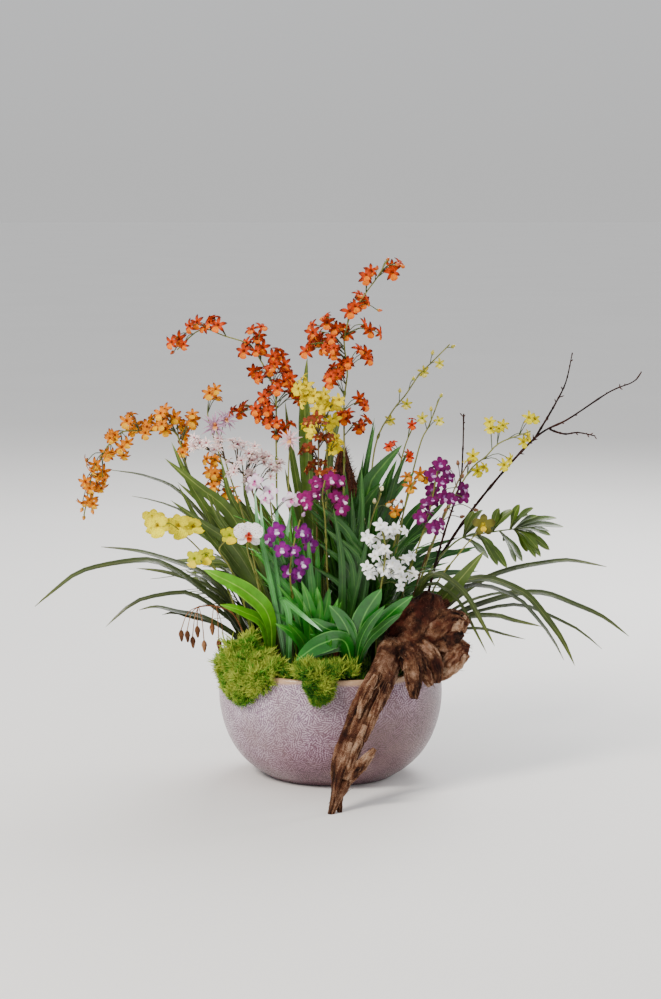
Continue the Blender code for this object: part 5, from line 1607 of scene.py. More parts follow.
@dataclass
class FlowerSpray(Piece):
    """A flowering stem with its florets, their stalks, its buds and a few small bracts."""

    root: Point
    stem: tuple[Point, ...]
    tip_depth: float
    florets: tuple[Point, ...]
    size: float
    finish: PetalFinish
    slot: str
    buds: tuple[Point, ...] = ()
    bud_finish: LeafFinish | None = None
    kind: Kind = Kind.DANCING
    stalk: LeafFinish = STALK
    side: float = 13.0
    extra: int = 0
    radii: tuple[float, float, float] = (1.6, 1.44, 1.0)
    stalk_radii: tuple[float, float, float] = (0.72, 0.6, 0.75)
    arch: float = 0.2
    bud_size: tuple[float, float] = (9.0, 2.9)
    bracts: int = 4

    def stalk_to(self, growth: Growth, start: Vector, end: Vector) -> None:
        """Adds a thin bent stalk, unless the flower sits on the stem.

        Args:
            growth: The spray.
            start: Where it leaves the stem.
            end: Where it meets the flower.
        """
        length = (end - start).length
        if length < 1 * MM:
            return
        bow = start.lerp(end, 0.55) + UP * length * self.arch - FRONT * length * 0.06
        rail = Rail.through([start, bow, end], STALK_FACE, 8)
        growth.add(wrap(SHOP.rod(4, 5), rail, self.stalk_radii, slot=1), 0.55)

    def add_bracts(self, growth: Growth, fine: Sequence[Vector]) -> None:
        """Adds small bracts that stand 17 mm up from the stem, above its lowest 50 mm.

        Args:
            growth: The spray.
            fine: Points along the stem.
        """
        for number in range(self.bracts):
            at = int(len(fine) * (0.16 + 0.16 * number))
            foot = fine[at]
            if foot.z <= fine[0].z + 50 * MM:
                continue
            way = (fine[min(at + 2, len(fine) - 1)] - foot).normalized() * MM
            rail = Rail.through([foot, foot + way * 8, foot + way * 17 + FRONT * 3 * MM], FRONT, 6)
            growth.add(lay(SHOP.sheet(Sheet.LEAFLET, 2, 4), rail, Lie(5.0, 0.5, 0.7), slot=1), 0.7)

    def build(self) -> None:
        """Follows the solid's rule for each floret and adds a few more between them."""
        draw = random.Random(self.name)
        growth = Growth(self.name)
        points = route_from(self.root, self.stem, self.tip_depth)
        fine = smooth_route(points, steps_along(points, STEM_STEP) * 8)
        growth.add(wrap(SHOP.rod(7, 50), Rail.through(points, FRONT, 60), self.radii, slot=1), 0.5)
        self.add_bracts(growth, fine)
        for number, (x, height) in enumerate((*self.florets, *self.buds)):
            depth = fine[nearest_on(fine, seen(x, height, 0.0))].y / MM
            # By turns in front of the stem and behind it, and the fourth looks back
            turn = (-1.0, 0.35, -0.45, 1.0)[number % 4]
            place = seen(x, height, depth + self.side * turn)
            start = fine[max(0, nearest_on(fine, place) - 3)]
            away = place - start
            if number >= len(self.florets):
                self.add_bud(growth, start, place, away, draw)
                continue
            facing = away.normalized() * 0.3 + FRONT + UP * 0.1
            if turn > 0.9:
                facing = away.normalized() * 0.4 - FRONT * 0.8 + UP * 0.1
            facing += Vector([draw.uniform(-0.25, 0.25) for _ in range(3)])
            self.add_floret(growth, start, place, facing, 14 * math.sin(number * 2.3), 1.06, draw)
            for _ in range(self.extra):
                shift = Vector((draw.uniform(-1, 1), draw.uniform(-1.1, 1.1), draw.uniform(-1, 1)))
                other = place + shift.normalized() * self.size * draw.uniform(0.9, 1.35) * MM
                facing = (other - start).normalized() * 0.9 + FRONT * draw.choice((1.0, 0.9, -0.4))
                facing += Vector([draw.uniform(-0.3, 0.3) for _ in range(3)])
                self.add_floret(growth, start, other, facing, draw.uniform(-25, 25), 0.92, draw)
        finishes = (self.finish, self.stalk, self.bud_finish or self.stalk)
        growth.finish(self.slot, finishes, (self.name,), 70)

    def add_floret(self, growth: Growth, start: Vector, place: Vector, facing: Vector, roll: float,
                   scale: float, draw: random.Random) -> None:
        """Adds a floret and its stalk.

        Args:
            growth: The spray.
            start: Where its stalk leaves the stem.
            place: Where its centre goes.
            facing: The way that it faces.
            roll: Its turn in degrees.
            scale: Its size against the spray's own.
            draw: The source of chance.
        """
        size = self.size * scale * draw.uniform(0.92, 1.06) * MM
        matrix = aimed(place, facing, size, math.radians(roll))
        growth.add(floret(self.kind, draw.randrange(3)).moved(matrix), draw.uniform(0.15, 0.95))
        self.stalk_to(growth, start, place - facing.normalized() * size * 0.04)

    def add_bud(self, growth: Growth, start: Vector, place: Vector, away: Vector,
                draw: random.Random) -> None:
        """Adds a bud and its stalk.

        Args:
            growth: The spray.
            start: Where its stalk leaves the stem.
            place: Where its middle goes.
            away: The way that it points.
            draw: The source of chance.
        """
        length, radius = self.bud_size
        way = away.normalized() * length * 0.5 * MM
        rail = Rail.through([place - way, place, place + way], STALK_FACE, 6)
        shape = SHOP.bud(8, 6)
        bent = wrap(shape, rail, (radius, radius), slot=2)
        growth.add(bent.shaped(bent.points, uvs=shape.points[shape.loops, :2]), draw.uniform(0.3, 0.9))
        self.stalk_to(growth, start, place - way * 0.9)


@dataclass(frozen=True)
class Leaf:
    """One leaf on the front elevation."""

    points: tuple[Point, ...]
    tip_depth: float
    width: float
    fold: float = 0.16
    ripple: float = 0.0
    tone: float = 0.5
    twist: float = 0.2


@dataclass
class LeafCluster(Piece):
    """Leaves that share a root, with thinner ones between them."""

    root: Point
    leaves: tuple[Leaf, ...]
    finish: LeafFinish
    more: int = 0
    spread: float = 0.0
    swell: float = 1.12
    outline: Sheet = Sheet.LANCE
    face: Vector = field(default_factory=FRONT.copy)

    def build(self) -> None:
        """Lays each leaf and its neighbours along their routes."""
        draw = random.Random(self.name)
        growth = Growth(self.name)
        sheet, plain = SHOP.sheet(self.outline, 4, 24), SHOP.sheet(self.outline, 2, 14)
        for number, leaf in enumerate(self.leaves):
            points = route_from(self.root, leaf.points, leaf.tip_depth, number)
            lie = Lie(leaf.width * self.swell, 0.8, leaf.fold, leaf.ripple, 2.5, leaf.twist)
            growth.add(lay(sheet, Rail.through(points, self.face), lie), leaf.tone)
            for _ in range(self.more):
                shift = Vector([draw.uniform(-1, 1) for _ in range(3)]) * self.spread * MM
                reach = draw.uniform(0.72, 0.96)
                other = [points[0]]
                for k, point in enumerate(points[1:], 1):
                    share = k / (len(points) - 1)
                    other.append(points[0] + (point - points[0]) * reach + shift * share)
                lie = Lie(leaf.width * draw.uniform(0.6, 0.95), 0.7, leaf.fold * 1.2, leaf.ripple, 2.0,
                          draw.uniform(-0.6, 0.6))
                # The neighbours take a tone from dark up to the leaf's own: painted shade among the leaves
                growth.add(lay(plain, Rail.through(other, self.face), lie), draw.uniform(0.0, leaf.tone))
        growth.finish("leaf", (self.finish,), (self.name,))


@dataclass
class GrassFan(Piece):
    """Narrow leaves that fan out of one root: the solid's leaves and finer ones among them."""

    root: Point
    leaves: int
    seed: int
    length: float
    width: float
    spread: float
    azimuth: float
    arc: float
    finish: LeafFinish
    more: int = 5
    tall: float = 1.0

    def build(self) -> None:
        """Follows the solid's seeded rule and adds finer leaves."""
        growth = Growth(self.name)
        sheet, plain = SHOP.sheet(Sheet.STRAP, 4, 18), SHOP.sheet(Sheet.STRAP, 2, 12)
        draw, other = random.Random(self.seed), random.Random(f"more {self.seed}")
        for number in range(self.leaves):
            foot = foot_of(self.root, number)
            angle = math.radians(self.azimuth + self.arc * ((number + 0.5) / self.leaves - 0.5)
                                 + draw.uniform(-8, 8))
            long, wide = self.length * draw.uniform(0.7, 1.1) * MM, self.spread * draw.uniform(0.6, 1.2)
            width = self.width * draw.uniform(0.8, 1.15) * 1.1
            self.add_leaf(growth, sheet, foot, angle, long, wide, width, other.uniform(0.3, 0.7), 0.1)
            for _ in range(self.more):
                self.add_leaf(growth, plain, foot, angle + other.uniform(-0.6, 0.6),
                              long * other.uniform(0.55, self.tall), wide * other.uniform(0.4, 1.15),
                              self.width * other.uniform(0.45, 1.0), other.uniform(0.0, 0.75),
                              other.uniform(-0.8, 0.8))
        growth.finish("leaf", (self.finish,), (self.name,))

    @staticmethod
    def add_leaf(growth: Growth, sheet: Blank, foot: Vector, angle: float, long: float, wide: float,
                 width: float, tone: float, twist: float) -> None:
        """Adds one arching leaf.

        Args:
            growth: The fan.
            sheet: The leaf's blank.
            foot: Where it starts.
            angle: The way that it leans, in radians.
            long: Its length in metres.
            wide: How far it leans out, as a share of its length.
            width: Its width in millimetres.
            tone: How bright it is.
            twist: How far it turns along its length, in radians.
        """
        out = Vector((math.cos(angle), math.sin(angle), 0.0))
        # Shares of how far it leans out and of how high it stands, which is less where it leans far
        arch = ((0.0, 0.0), (0.18, 0.336), (0.5, 0.64), (0.95, 0.8 - 0.2 * wide))
        route = [foot + out * long * wide * reach + UP * long * rise for reach, rise in arch]
        rail = Rail.through(route, (UP * 0.6 - out).normalized(), 30)
        growth.add(lay(sheet, rail, Lie(width, 0.7, 0.25, 0.01, 2.0, twist)), tone)


@dataclass
class LeafyShoot(Piece):
    """An arched stem with lance leaves by turns."""

    root: Point
    stem: tuple[Point, ...]
    tips: tuple[Point, ...]
    depth: float
    finish: LeafFinish

    def build(self) -> None:
        """Lays the leaves along the stem."""
        draw = random.Random(self.name)
        growth = Growth(self.name)
        points = route_from(self.root, self.stem, self.depth)
        fine = smooth_route(points, 60)
        growth.add(wrap(SHOP.rod(7, 60), Rail.through(points, FRONT, 60), (2.0, 1.6, 1.0)), 0.3)
        sheet = SHOP.sheet(Sheet.OVAL, 4, 14)
        for number, (x, height) in enumerate(self.tips):
            # Leaves stand by turns in front of the stem and behind it
            turn = (-1, 1, 0.3, -0.5)[number % 4]
            tip = seen(x, height, self.depth * 0.8 + 16 * turn)
            start = fine[max(4, nearest_on(fine, tip) - 6)]
            # The solid's leaf, and two shorter and narrower ones beside it
            for share, width in ((1.0, 15.0), (0.74, 13.0), (0.62, 12.0)):
                end = start.lerp(tip, share)
                if share < 1:
                    end += Vector([draw.uniform(-0.016, 0.016) for _ in range(3)])
                rail = Rail.through([start, start.lerp(end, 0.5) + UP * 5 * MM, end], OVER, 14)
                lie = Lie(width, 0.6, 0.2, 0.02, 2.0, draw.uniform(-0.4, 0.4))
                growth.add(lay(sheet, rail, lie), draw.uniform(0.2, 0.8))
        growth.finish("leaf", (self.finish,), (self.name,))


@dataclass
class Twig(Piece):
    """A bare twig, with knots and small buds along it."""

    routes: tuple[tuple[Vector, ...], ...]
    radii: tuple[tuple[float, float], ...]
    spurs: int = 16

    def build(self) -> None:
        """Wraps a knotty rod round each route and adds spurs."""
        draw = random.Random(self.name)
        growth = Growth(self.name)
        for number, (route, (start, end)) in enumerate(zip(self.routes, self.radii)):
            rail = Rail.through(route, FRONT, 80)
            # A knot at every seventh place
            knots = [1.35 if i % 7 == 3 else 1.0 + draw.uniform(-0.1, 0.1) for i in range(61)]
            radii = [(start + (end - start) * i / 60) * knot for i, knot in enumerate(knots)]
            growth.add(wrap(SHOP.rod(9, 120), rail, radii, part=0.3), 0.3)
            for _ in range(self.spurs if not number else self.spurs // 3):
                at = draw.randrange(20, 80)
                foot, along = Vector(rail.points[at]), Vector(rail.along[at])
                away = (along.cross(Vector([draw.uniform(-1, 1) for _ in range(3)])).normalized()
                        + along * draw.uniform(0.3, 0.9)).normalized()
                long = draw.uniform(3, 8) * MM
                ends = [foot, foot + away * long * 0.5, foot + away * long + UP * MM]
                spur = Rail.through(ends, STALK_FACE, 4)
                growth.add(wrap(SHOP.rod(5, 4), spur, (0.9, 0.7, 1.1, 0.3), part=0.3), 0.45)
        growth.finish("bark", (TWIG_BARK,), (self.name,))


@dataclass
class Pods(Piece):
    """Dry seed pods that hang on thin arched stalks."""

    root: Point
    pods: tuple[Point, ...]
    depth: float

    def build(self) -> None:
        """Hangs each pod from the arched stalk."""
        growth = Growth(self.name)
        draw = random.Random(self.name)
        bend, hub = seen(-170, 250, self.depth), seen(-196, 250, self.depth)
        arch = [foot_of(self.root), seen(-140, 232, self.depth), bend, hub]
        growth.add(wrap(SHOP.rod(7, 40), Rail.through(arch, FRONT, 40), (1.5, 1.3, 1.1)), 0.6)
        shape = SHOP.bud(12, 10)
        for number, (x, height) in enumerate(self.pods):
            place = seen(x, height, self.depth + (6, -7, 3, -4)[number % 4])
            start = hub if x < -185 else bend
            way = Vector((0.05, 0, -1)).normalized() * 9.5 * MM
            rail = Rail.through([place - way, place, place + way], FRONT, 8)
            # Six ribs along the pod
            pod = wrap(shape, rail, (3.4, 3.7, 3.2), part=0.2,
                       relief=lambda along, angle, spots: 1 + 0.13 * np.cos(6 * angle))
            growth.add(pod, draw.uniform(0.35, 0.75))
            top = place - way * 0.95
            bow = start.lerp(top, 0.5) + UP * 12 * MM + (top - start) * 0.12
            string = Rail.through([start, bow, top], FRONT, 12)
            growth.add(wrap(SHOP.rod(5, 10), string, (0.7, 0.6, 0.8)), 0.7)
        growth.finish("pod", (POD_SKIN,), (self.name,))


# Every flowering stem: its root, its stem and the stem's depth at the tip, its florets and their radius,
# then its buds. Stems, florets and buds are points of the front elevation
SPRAYS = (
    FlowerSpray("spray_amber_arch", (-72, 36),
        ((-120, 290), (-195, 410), (-215, 470), (-230, 512), (-268, 512), (-305, 512), (-325, 495),
         (-340, 470), (-355, 440), (-360, 410), (-365, 387)), 64,
        ((-250, 538), (-230, 533), (-203, 528), (-217, 520), (-243, 515), (-215, 490), (-270, 518),
         (-287, 520), (-300, 527), (-322, 505), (-308, 488), (-330, 478), (-347, 463), (-335, 452),
         (-362, 437), (-345, 432), (-355, 410)), 12.5, AMBER, "petal_amber",
        ((-368, 395), (-352, 392), (-365, 383)), BUD_AMBER, extra=2),
    FlowerSpray("spray_amber_low", (-84, 58),
        ((-110, 300), (-150, 430), (-165, 480), (-180, 530), (-180, 552)), 84,
        ((-178, 568), (-170, 470), (-178, 452), (-162, 445), (-172, 430), (-152, 420)), 12.5, AMBER,
        "petal_amber", extra=2),
    FlowerSpray("spray_orange_arch", (-44, 46),
        ((-75, 350), (-80, 485), (-80, 560), (-85, 580), (-100, 612), (-120, 640), (-155, 652), (-190, 662),
         (-225, 632)), 116,
        ((-222, 648), (-195, 672), (-165, 668), (-105, 652), (-127, 630), (-100, 635), (-85, 622),
         (-112, 600), (-88, 603), (-68, 610), (-60, 590), (-52, 572), (-78, 575), (-98, 563), (-110, 545),
         (-132, 540), (-90, 525), (-68, 515), (-92, 545), (-48, 558)), 13, VERMILION, "petal_orange",
        ((-232, 628), (-216, 636)), BUD_ORANGE, extra=2),
    FlowerSpray("spray_orange_upright", (12, 34),
        ((18, 350), (20, 455), (20, 515), (20, 560), (25, 600), (20, 645), (30, 685), (45, 705), (55, 720),
         (70, 740), (82, 762)), 34,
        ((-5, 672), (-26, 657), (-35, 630), (-14, 645), (2, 650), (25, 655), (28, 688), (47, 703),
         (52, 738), (90, 745), (57, 660), (52, 627), (5, 628), (18, 612), (0, 585), (12, 598), (22, 530),
         (42, 560), (42, 518)), 13, VERMILION, "petal_orange",
        ((84, 764), (68, 752), (72, 690), (98, 757)), BUD_ORANGE, extra=2),
    FlowerSpray("spray_yellow_centre", (-12, 6),
        ((-8, 350), (-5, 470), (-10, 540), (-25, 575)), -34,
        ((-36, 578), (-28, 563), (-14, 560), (2, 550), (-18, 543), (4, 528), (-28, 512), (8, 490)), 13,
        YELLOW, "petal_yellow", extra=3),
    FlowerSpray("spray_yellow_right", (96, 34),
        ((150, 340), (200, 445), (230, 475), (250, 495), (295, 512)), 56,
        ((210, 475), (217, 453), (236, 516), (254, 521), (292, 532), (284, 496), (256, 462)), 11,
        WARM_YELLOW, "petal_yellow", extra=1),
    FlowerSpray("spray_pale_yellow_tall", (44, 58),
        ((55, 350), (65, 485), (90, 540), (110, 565), (130, 595), (150, 615), (175, 640)), 128,
        ((160, 612), (137, 600), (112, 552), (88, 528)), 9, PALE_YELLOW, "petal_yellow",
        ((102, 572), (180, 637), (150, 628), (122, 590)), BUD_GREEN),
    FlowerSpray("spray_pale_yellow_short", (70, 50),
        ((100, 350), (130, 485), (145, 520), (160, 560)), 92,
        ((135, 531), (160, 527)), 9, PALE_YELLOW, "petal_yellow",
        ((148, 545), (163, 565)), BUD_GREEN),
    FlowerSpray("spray_red_small", (58, 22),
        ((80, 350), (98, 440), (110, 490), (120, 515)), 26,
        ((120, 521), (116, 474), (86, 489)), 9, RED, "petal_red", extra=1),
    FlowerSpray("spray_magenta_centre", (-2, -46),
        ((-5, 300), (-8, 380), (-12, 415), (-8, 440)), -112,
        ((0, 441), (-24, 418), (-38, 412), (-14, 428), (8, 415), (16, 396)), 12.5, MAGENTA_DEEP,
        "petal_magenta", kind=Kind.OPEN_STAR, extra=1),
    FlowerSpray("spray_violet_low", (-48, -56),
        ((-55, 250), (-60, 300), (-55, 340), (-45, 380)), -126,
        ((-72, 335), (-80, 363), (-42, 362), (-30, 343), (-42, 315), (-62, 303)), 14, VIOLET,
        "petal_violet",
        ((-40, 388),), BUD_VIOLET, kind=Kind.OPEN_STAR, extra=1),
    FlowerSpray("spray_magenta_right", (82, -14),
        ((110, 280), (140, 370), (152, 420), (160, 465)), -76,
        ((162, 463), (150, 447), (165, 436), (150, 424), (168, 414), (142, 404), (133, 384), (196, 414),
         (152, 368)), 12.5, MAGENTA, "petal_magenta", kind=Kind.OPEN_STAR, extra=1),
    FlowerSpray("spray_bronze_right", (64, -8),
        ((85, 300), (105, 380), (120, 430), (132, 452)), -34,
        ((132, 448), (118, 430), (96, 393)), 11.5, BRONZE, "petal_bronze",
        ((88, 405), (105, 408)), BUD_BROWN, extra=1),
    FlowerSpray("spray_olive_right", (104, -24),
        ((150, 270), (195, 335), (222, 365)), -56,
        ((226, 372),), 17, OLIVE, "petal_olive", kind=Kind.OPEN_STAR),
    FlowerSpray("buds_right", (98, 8),
        ((130, 290), (165, 380), (185, 430), (205, 468)), -4,
        (), 8, BROWN, "petal_buds",
        ((175, 458), (188, 465), (206, 466), (195, 445), (170, 395), (195, 385), (215, 395)), BUD_BROWN,
        kind=Kind.STAR, stalk=DARK_STALK),
    FlowerSpray("buds_centre", (40, -48),
        ((45, 290), (58, 370), (75, 420)), -64,
        (), 8, BROWN, "petal_buds",
        ((76, 427), (65, 408), (86, 402), (48, 382)), BUD_CREAM, kind=Kind.STAR),
    FlowerSpray("spray_brown_centre", (-22, -18),
        ((-20, 350), (-18, 450), (-18, 525)), -66,
        ((-20, 532), (-12, 502), (-32, 487), (-25, 462), (-6, 447)), 11, BROWN, "petal_brown",
        kind=Kind.STAR, stalk=DARK_STALK, extra=3),
    FlowerSpray("spray_white_stars", (64, -78),
        ((70, 240), (78, 300), (82, 335), (76, 365)), -152,
        ((74, 372), (95, 366), (54, 355), (70, 352), (72, 338), (88, 358), (66, 326), (82, 328), (54, 310),
         (76, 312), (92, 314), (110, 320), (60, 299), (90, 300), (105, 294), (122, 300), (102, 306)), 10.5,
        WHITE, "petal_white", kind=Kind.STAR, side=9.0, extra=1),
    FlowerSpray("bloom_mauve_spider", (-84, 8),
        ((-120, 350), (-150, 450), (-168, 512)), -40,
        ((-170, 520),), 22, MAUVE, "petal_mauve", kind=Kind.SPIDER, extra=1),
    FlowerSpray("bloom_pink_spider", (-40, -8),
        ((-55, 330), (-62, 430), (-60, 492)), -76,
        ((-60, 500),), 20, PINK, "petal_pink", kind=Kind.SPIDER),
    FlowerSpray("spray_pale_lace", (-62, -24),
        ((-90, 330), (-115, 420), (-140, 460), (-195, 492)), -66,
        ((-192, 494), (-165, 487), (-137, 492), (-102, 476), (-142, 456), (-112, 443), (-120, 478),
         (-85, 455)), 12, LACE, "petal_pale", kind=Kind.LACE, stalk=DARK_STALK, side=12.0, extra=4),
    FlowerSpray("blooms_pink_left", (-68, -60),
        ((-75, 280), (-85, 370), (-92, 415), (-110, 430)), -78,
        ((-112, 437), (-58, 410), (-90, 422)), 12.5, PINK_BLOOM, "petal_pink",
        kind=Kind.OPEN_STAR, extra=1),
    FlowerSpray("bloom_white_moth", (-90, -60),
        ((-105, 270), (-122, 330), (-124, 356)), -128,
        ((-121, 357),), 22, MOTH_WHITE, "petal_white", kind=Kind.MOTH),
    FlowerSpray("blooms_green_yellow", (-104, -38),
        ((-130, 260), (-150, 310), (-165, 335), (-152, 352)), -96,
        ((-150, 357), (-184, 327), (-202, 322)), 14, GREEN_YELLOW, "petal_yellow", kind=Kind.RUFFLED),
    FlowerSpray("blooms_yellow_left", (-116, -8),
        ((-150, 270), (-190, 330), (-225, 365)), -60,
        ((-262, 380), (-226, 372)), 21, RUFFLED_YELLOW, "petal_yellow", kind=Kind.RUFFLED, side=6.0,
        extra=1),
)

# The leaf groups: each leaf as points of the front elevation, its depth at the tip and its width
CLUSTERS = (
    LeafCluster("leaves_strap_left", (-104, 12), (
        Leaf(((-145, 235), (-195, 280), (-240, 310), (-280, 320), (-365, 305), (-410, 275), (-440, 250)),
             -64, 11),
        Leaf(((-150, 260), (-185, 297), (-215, 312), (-270, 330), (-300, 336), (-340, 340)), 70, 9,
             tone=0.4),
        Leaf(((-135, 200), (-185, 232), (-230, 243), (-260, 250), (-285, 245)), 10, 9, tone=0.3),
        Leaf(((-138, 215), (-165, 262), (-190, 290), (-215, 305)), 100, 9, tone=0.6),
        Leaf(((-140, 310), (-215, 415), (-270, 445), (-325, 455)), 120, 6, tone=0.4),
    ), OLIVE_LEAF, 1, 12, outline=Sheet.STRAP, face=OVER),
    LeafCluster("leaves_sword_left", (-66, 12), (
        Leaf(((-95, 280), (-145, 385), (-195, 430), (-245, 472)), 0, 20),
        Leaf(((-105, 290), (-165, 370), (-205, 430), (-235, 497)), 24, 15),
        Leaf(((-90, 280), (-125, 370), (-150, 420), (-162, 472)), 10, 13),
    ), SWORD_LEAF, 4, 34),
    LeafCluster("leaves_strap_right", (112, -2), (
        Leaf(((150, 225), (180, 257), (225, 290), (270, 307), (310, 315), (350, 320), (380, 316),
             (410, 310)), 60, 9),
        Leaf(((165, 270), (205, 290), (235, 292), (270, 280), (295, 265), (320, 235), (345, 200),
             (365, 160)), -90, 12, tone=0.6),
        Leaf(((155, 215), (185, 237), (225, 255), (280, 270), (320, 270), (360, 255), (405, 235),
             (445, 205)), -10, 10, tone=0.4),
        Leaf(((150, 205), (180, 226), (215, 236), (250, 236), (270, 230), (315, 220)), -76, 9),
        Leaf(((130, 270), (150, 298), (170, 295), (200, 270), (222, 232), (245, 190)), -120, 9, tone=0.7),
    ), OLIVE_LEAF, 1, 14, outline=Sheet.STRAP, face=OVER),
    LeafCluster("leaf_broad_right", (100, -46), (
        Leaf(((125, 215), (170, 265), (200, 300), (228, 333)), -66, 24, tone=0.4),
    ), SWORD_LEAF),
    LeafCluster("leaves_tall_centre", (34, 2), (
        Leaf(((45, 300), (55, 420), (75, 458), (106, 492)), -20, 32, ripple=0.01),
        Leaf(((55, 300), (78, 400), (86, 440), (98, 470)), 10, 22, tone=0.35),
        Leaf(((38, 330), (48, 430), (58, 485), (66, 522)), 0, 12, tone=0.6),
    ), DARK_LEAF, 6, 36),
    LeafCluster("leaves_dark_centre", (18, -66), (
        Leaf(((35, 250), (38, 320), (25, 362), (-25, 407)), -96, 17),
        Leaf(((28, 260), (40, 340), (46, 395), (46, 457)), -80, 13),
    ), DARK_LEAF, 8, 40),
    LeafCluster("leaf_tall_back", (-10, 62), (
        Leaf(((-25, 350), (-35, 480), (-38, 560), (-34, 622)), 72, 20),
    ), SWORD_LEAF, 6, 60),
    LeafCluster("leaves_rosette_front", (34, -104), (
        Leaf(((40, 200), (52, 240), (76, 277)), -128, 24, 0.1),
        Leaf(((30, 198), (17, 230), (-2, 252)), -134, 19, 0.1),
        Leaf(((22, 196), (-15, 193), (-52, 168)), -150, 22, 0.1, tone=0.7),
        Leaf(((55, 200), (90, 240), (122, 266)), -126, 18, 0.1),
        Leaf(((15, 200), (-12, 220), (-30, 232)), -124, 17, 0.1),
    ), GLOSSY_LEAF, 1, 14, 1.3, outline=Sheet.OVAL),
    LeafCluster("leaves_rosette_middle", (-26, -84), (
        Leaf(((-30, 215), (-42, 255), (-58, 282)), -110, 20),
        Leaf(((-22, 215), (-18, 250), (-20, 280)), -108, 22),
        Leaf(((-15, 205), (0, 225), (5, 252)), -112, 16),
        # Taller leaves behind, which the solid leaves out
        Leaf(((-40, 260), (-64, 340), (-84, 396)), -64, 13, tone=0.4, twist=0.6),
        Leaf(((-34, 260), (-46, 340), (-60, 416)), -50, 12, tone=0.5, twist=-0.5),
        Leaf(((-30, 250), (-34, 310), (-26, 366)), -60, 13, tone=0.3, twist=0.5),
        Leaf(((-44, 250), (-84, 300), (-118, 340)), -90, 12, tone=0.5),
    ), FRESH_LEAF, 5, 40, 0.95),
    LeafCluster("leaves_bright_left", (-89, -78), (
        Leaf(((-90, 228), (-122, 270), (-188, 306)), -158, 27, 0.1, tone=0.75),
        Leaf(((-98, 218), (-130, 242), (-164, 253)), -130, 16, 0.1),
    ), BRIGHT_LEAF, swell=1.15, outline=Sheet.OVAL, face=LEANING),
    LeafCluster("leaves_mint", (-62, -96), (
        Leaf(((-80, 240), (-98, 330), (-108, 375), (-112, 428)), -104, 8, tone=0.6),
        Leaf(((-72, 240), (-82, 320), (-86, 380)), -92, 6),
        Leaf(((-62, 235), (-72, 262), (-45, 240), (-12, 212)), -128, 10, tone=0.8),
        # Leaves that the solid leaves out, pale towards their tips
        Leaf(((-68, 260), (-80, 340), (-78, 412)), -70, 9, tone=0.9),
        Leaf(((-60, 260), (-66, 340), (-58, 398)), -60, 8, tone=0.8),
        Leaf(((-78, 270), (-98, 350), (-104, 408)), -84, 8, tone=0.8),
    ), MINT_LEAF, swell=0.9, outline=Sheet.STRAP),
    LeafCluster("leaves_back_left", (-58, 96), (
        Leaf(((-80, 280), (-120, 380), (-160, 430)), 150, 22),
        Leaf(((-85, 262), (-150, 315), (-220, 318)), 170, 18),
        Leaf(((-50, 280), (-45, 400), (-60, 470)), 150, 18),
    ), SWORD_LEAF, 6, 40, face=BACK),
    LeafCluster("leaves_back_right", (52, 98), (
        Leaf(((75, 280), (110, 370), (150, 420)), 150, 22),
        Leaf(((80, 262), (140, 320), (210, 335)), 174, 18),
        Leaf(((40, 280), (40, 390), (52, 450)), 140, 18),
    ), DARK_LEAF, 6, 40, face=BACK),
)

# The grasses that fill the middle and the back
FANS = (
    GrassFan("grass_middle_left", (-44, -32), 4, 21, 250, 9, 0.3, 215, 60, FRESH_LEAF, 24, 1.4),
    GrassFan("grass_middle", (20, -24), 4, 23, 265, 9, 0.26, 275, 110, SHADE_GRASS, 26, 1.4),
    GrassFan("grass_middle_right", (64, -34), 4, 25, 235, 9, 0.34, 320, 110, SHADE_GRASS, 18, 1.3),
    GrassFan("grass_back", (0, 112), 6, 3, 230, 8, 0.75, 90, 150, SHADE_GRASS),
    GrassFan("grass_back_left", (-104, 52), 5, 5, 210, 8, 0.8, 160, 80, OLIVE_LEAF),
    GrassFan("grass_back_right", (78, 92), 4, 8, 200, 8, 0.6, 30, 60, SHADE_GRASS),
)


def others() -> list[Piece]:
    """Lists the bowl, its filling, the wood and the twigs.

    Returns:
        The pieces.
    """
    green = MossFinish("cushion moss", "#16240A", "#4E9020", "#B0BC48")
    mixed = MossFinish("young moss", "#0E1E08", "#34761E", "#A0AE3E")
    dark = MossFinish("shaded moss", "#0E1C08", "#2E6C1C", "#7C9C36")
    main_twig = tuple(route_from((84, 72), ((120, 250), (185, 360), (245, 440), (305, 505), (350, 530),
                                            (410, 570), (445, 585), (457, 600)), 60))
    line = smooth_route(main_twig, 160)
    forks = [(line[nearest_on(line, seen(*fork[0], 67))], *(seen(x, h, 67) for x, h in fork))
             for fork in (((300, 500), (315, 525), (332, 555), (346, 585), (355, 628)),
                          ((325, 514), (345, 508), (365, 510), (390, 505)))]
    upright = tuple(route_from((118, 26), ((160, 330), (190, 430), (195, 480), (196, 538)), 34))
    return [
        Bowl("glazed_bowl"),
        Soil("soil_and_carpet"),
        MossBank("moss_left", 6200, (0.2, 0.85), green, crown=1.0, seed=1),
        MossBank("moss_front", 4000, (0.0, 0.75), mixed, crown=0.9, seed=2),
        MossBank("moss_right", 1900, (0.1, 0.55), dark, seed=3),
        MossBank("moss_back", 3600, (0.2, 0.6), dark, leaflets=4, seed=4),
        Driftwood("weathered_root"),
        BarkPost("fern_post"),
        LeafyShoot("leafy_shoot_right", (96, 52), ((135, 280), (185, 347), (240, 362), (305, 370)),
                   ((335, 383), (345, 370), (325, 335), (312, 325), (262, 308), (235, 322), (270, 395),
                    (225, 395), (300, 398), (285, 318)), 40, SWORD_LEAF),
        Twig("twig_forked", (main_twig, *forks), ((3.0, 0.9), (1.8, 0.8), (1.8, 0.8))),
        Twig("twig_upright", (upright,), ((2.4, 1.0),)),
        Pods("pods_hanging", (-110, -24), ((-222, 206), (-213, 205), (-198, 212), (-188, 190), (-176, 216),
                                           (-166, 192), (-157, 178), (-205, 196)), -36),
    ]


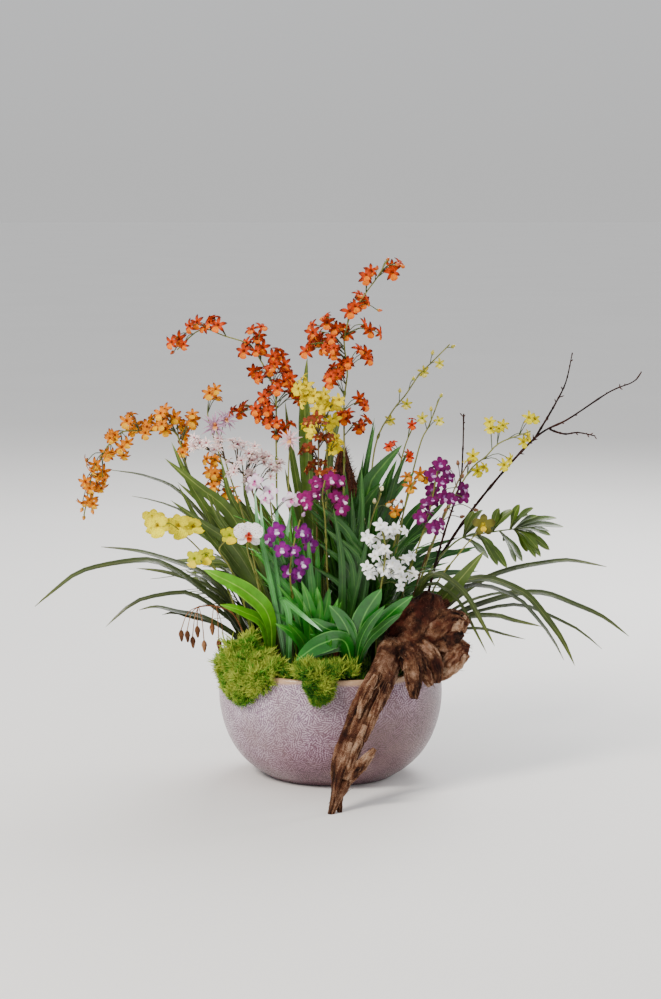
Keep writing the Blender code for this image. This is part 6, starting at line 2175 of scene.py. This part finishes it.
@dataclass
class Studio:
    """A wide pale floor, an even sky, soft lights and the camera of the photograph."""

    reach: float = 80.0
    key_power: float = 205.0
    sky: float = 0.85

    def build(self) -> None:
        """Builds the floor, the lights, the sky and the camera."""
        bpy.ops.mesh.primitive_plane_add(size=self.reach)
        floor = bpy.context.object
        floor.name = "studio_floor"
        floor.data.materials.append(FloorFinish().material())
        self.light("key_light", (-2.3, -2.5, 3.0), 1.1, self.key_power, "#FFF8EF")
        self.light("fill_light", (3.1, -0.9, 1.1), 1.2, self.key_power * 0.03, "#F1F5FF")
        self.light("back_light", (0.8, 2.6, 2.6), 1.8, self.key_power * 0.55, "#FFFFFF")
        self.light("window_light", (2.0, 1.3, 0.8), 0.7, self.key_power * 0.12, "#FFFFFF")
        self.paint_sky()
        lens = bpy.data.cameras.new("photo_camera")
        lens.sensor_width = SENSOR
        lens.lens = FOCAL_PIXELS * SENSOR / PHOTO_HEIGHT
        camera = bpy.data.objects.new("photo_camera", lens)
        camera.location = EYE
        camera.rotation_euler = (math.radians(EYE_PITCH), 0, 0)
        bpy.context.scene.collection.objects.link(camera)
        bpy.context.scene.camera = camera
        bpy.context.view_layer.update()

    def paint_sky(self) -> None:
        """Makes an even sky that is as dim at the horizon as the far floor, so that no edge shows."""
        world = bpy.data.worlds.new("soft_sky")
        world.use_nodes = True
        tree = world.node_tree
        axes = add_node(tree, "SeparateXYZ", (add_node(tree, "TexCoord").outputs["Generated"],))
        colour = add_node(tree, "ValToRGB", (axes.outputs["Z"],), ((0.0, "#E0E0E0"), (0.2, "#F2F4F7")))
        connect(tree.nodes["Background"], {"Color": colour, "Strength": self.sky})
        bpy.context.scene.world = world

    @staticmethod
    def light(name: str, place: tuple[float, float, float], size: float, power: float,
              colour: str, target: tuple[float, float, float] = (0, 0, 0.35)) -> None:
        """Adds a soft light.

        Args:
            name: What it is.
            place: Where it stands, in metres.
            size: The side of its square in metres.
            power: Its power in watts.
            colour: Its colour as hex.
            target: The point that it faces.
        """
        lamp = bpy.data.lights.new(name, "AREA")
        lamp.size, lamp.energy, lamp.color = size, power, linear(colour)[:3]
        thing = bpy.data.objects.new(name, lamp)
        thing.location = place
        thing.rotation_euler = (Vector(target) - thing.location).to_track_quat("-Z", "Y").to_euler()
        bpy.context.scene.collection.objects.link(thing)


def main() -> None:
    """Builds every piece in order."""
    for piece in (*others(), *CLUSTERS, *FANS, *SPRAYS):
        piece.build()
    Studio().build()


if __name__ == "__main__":
    main()
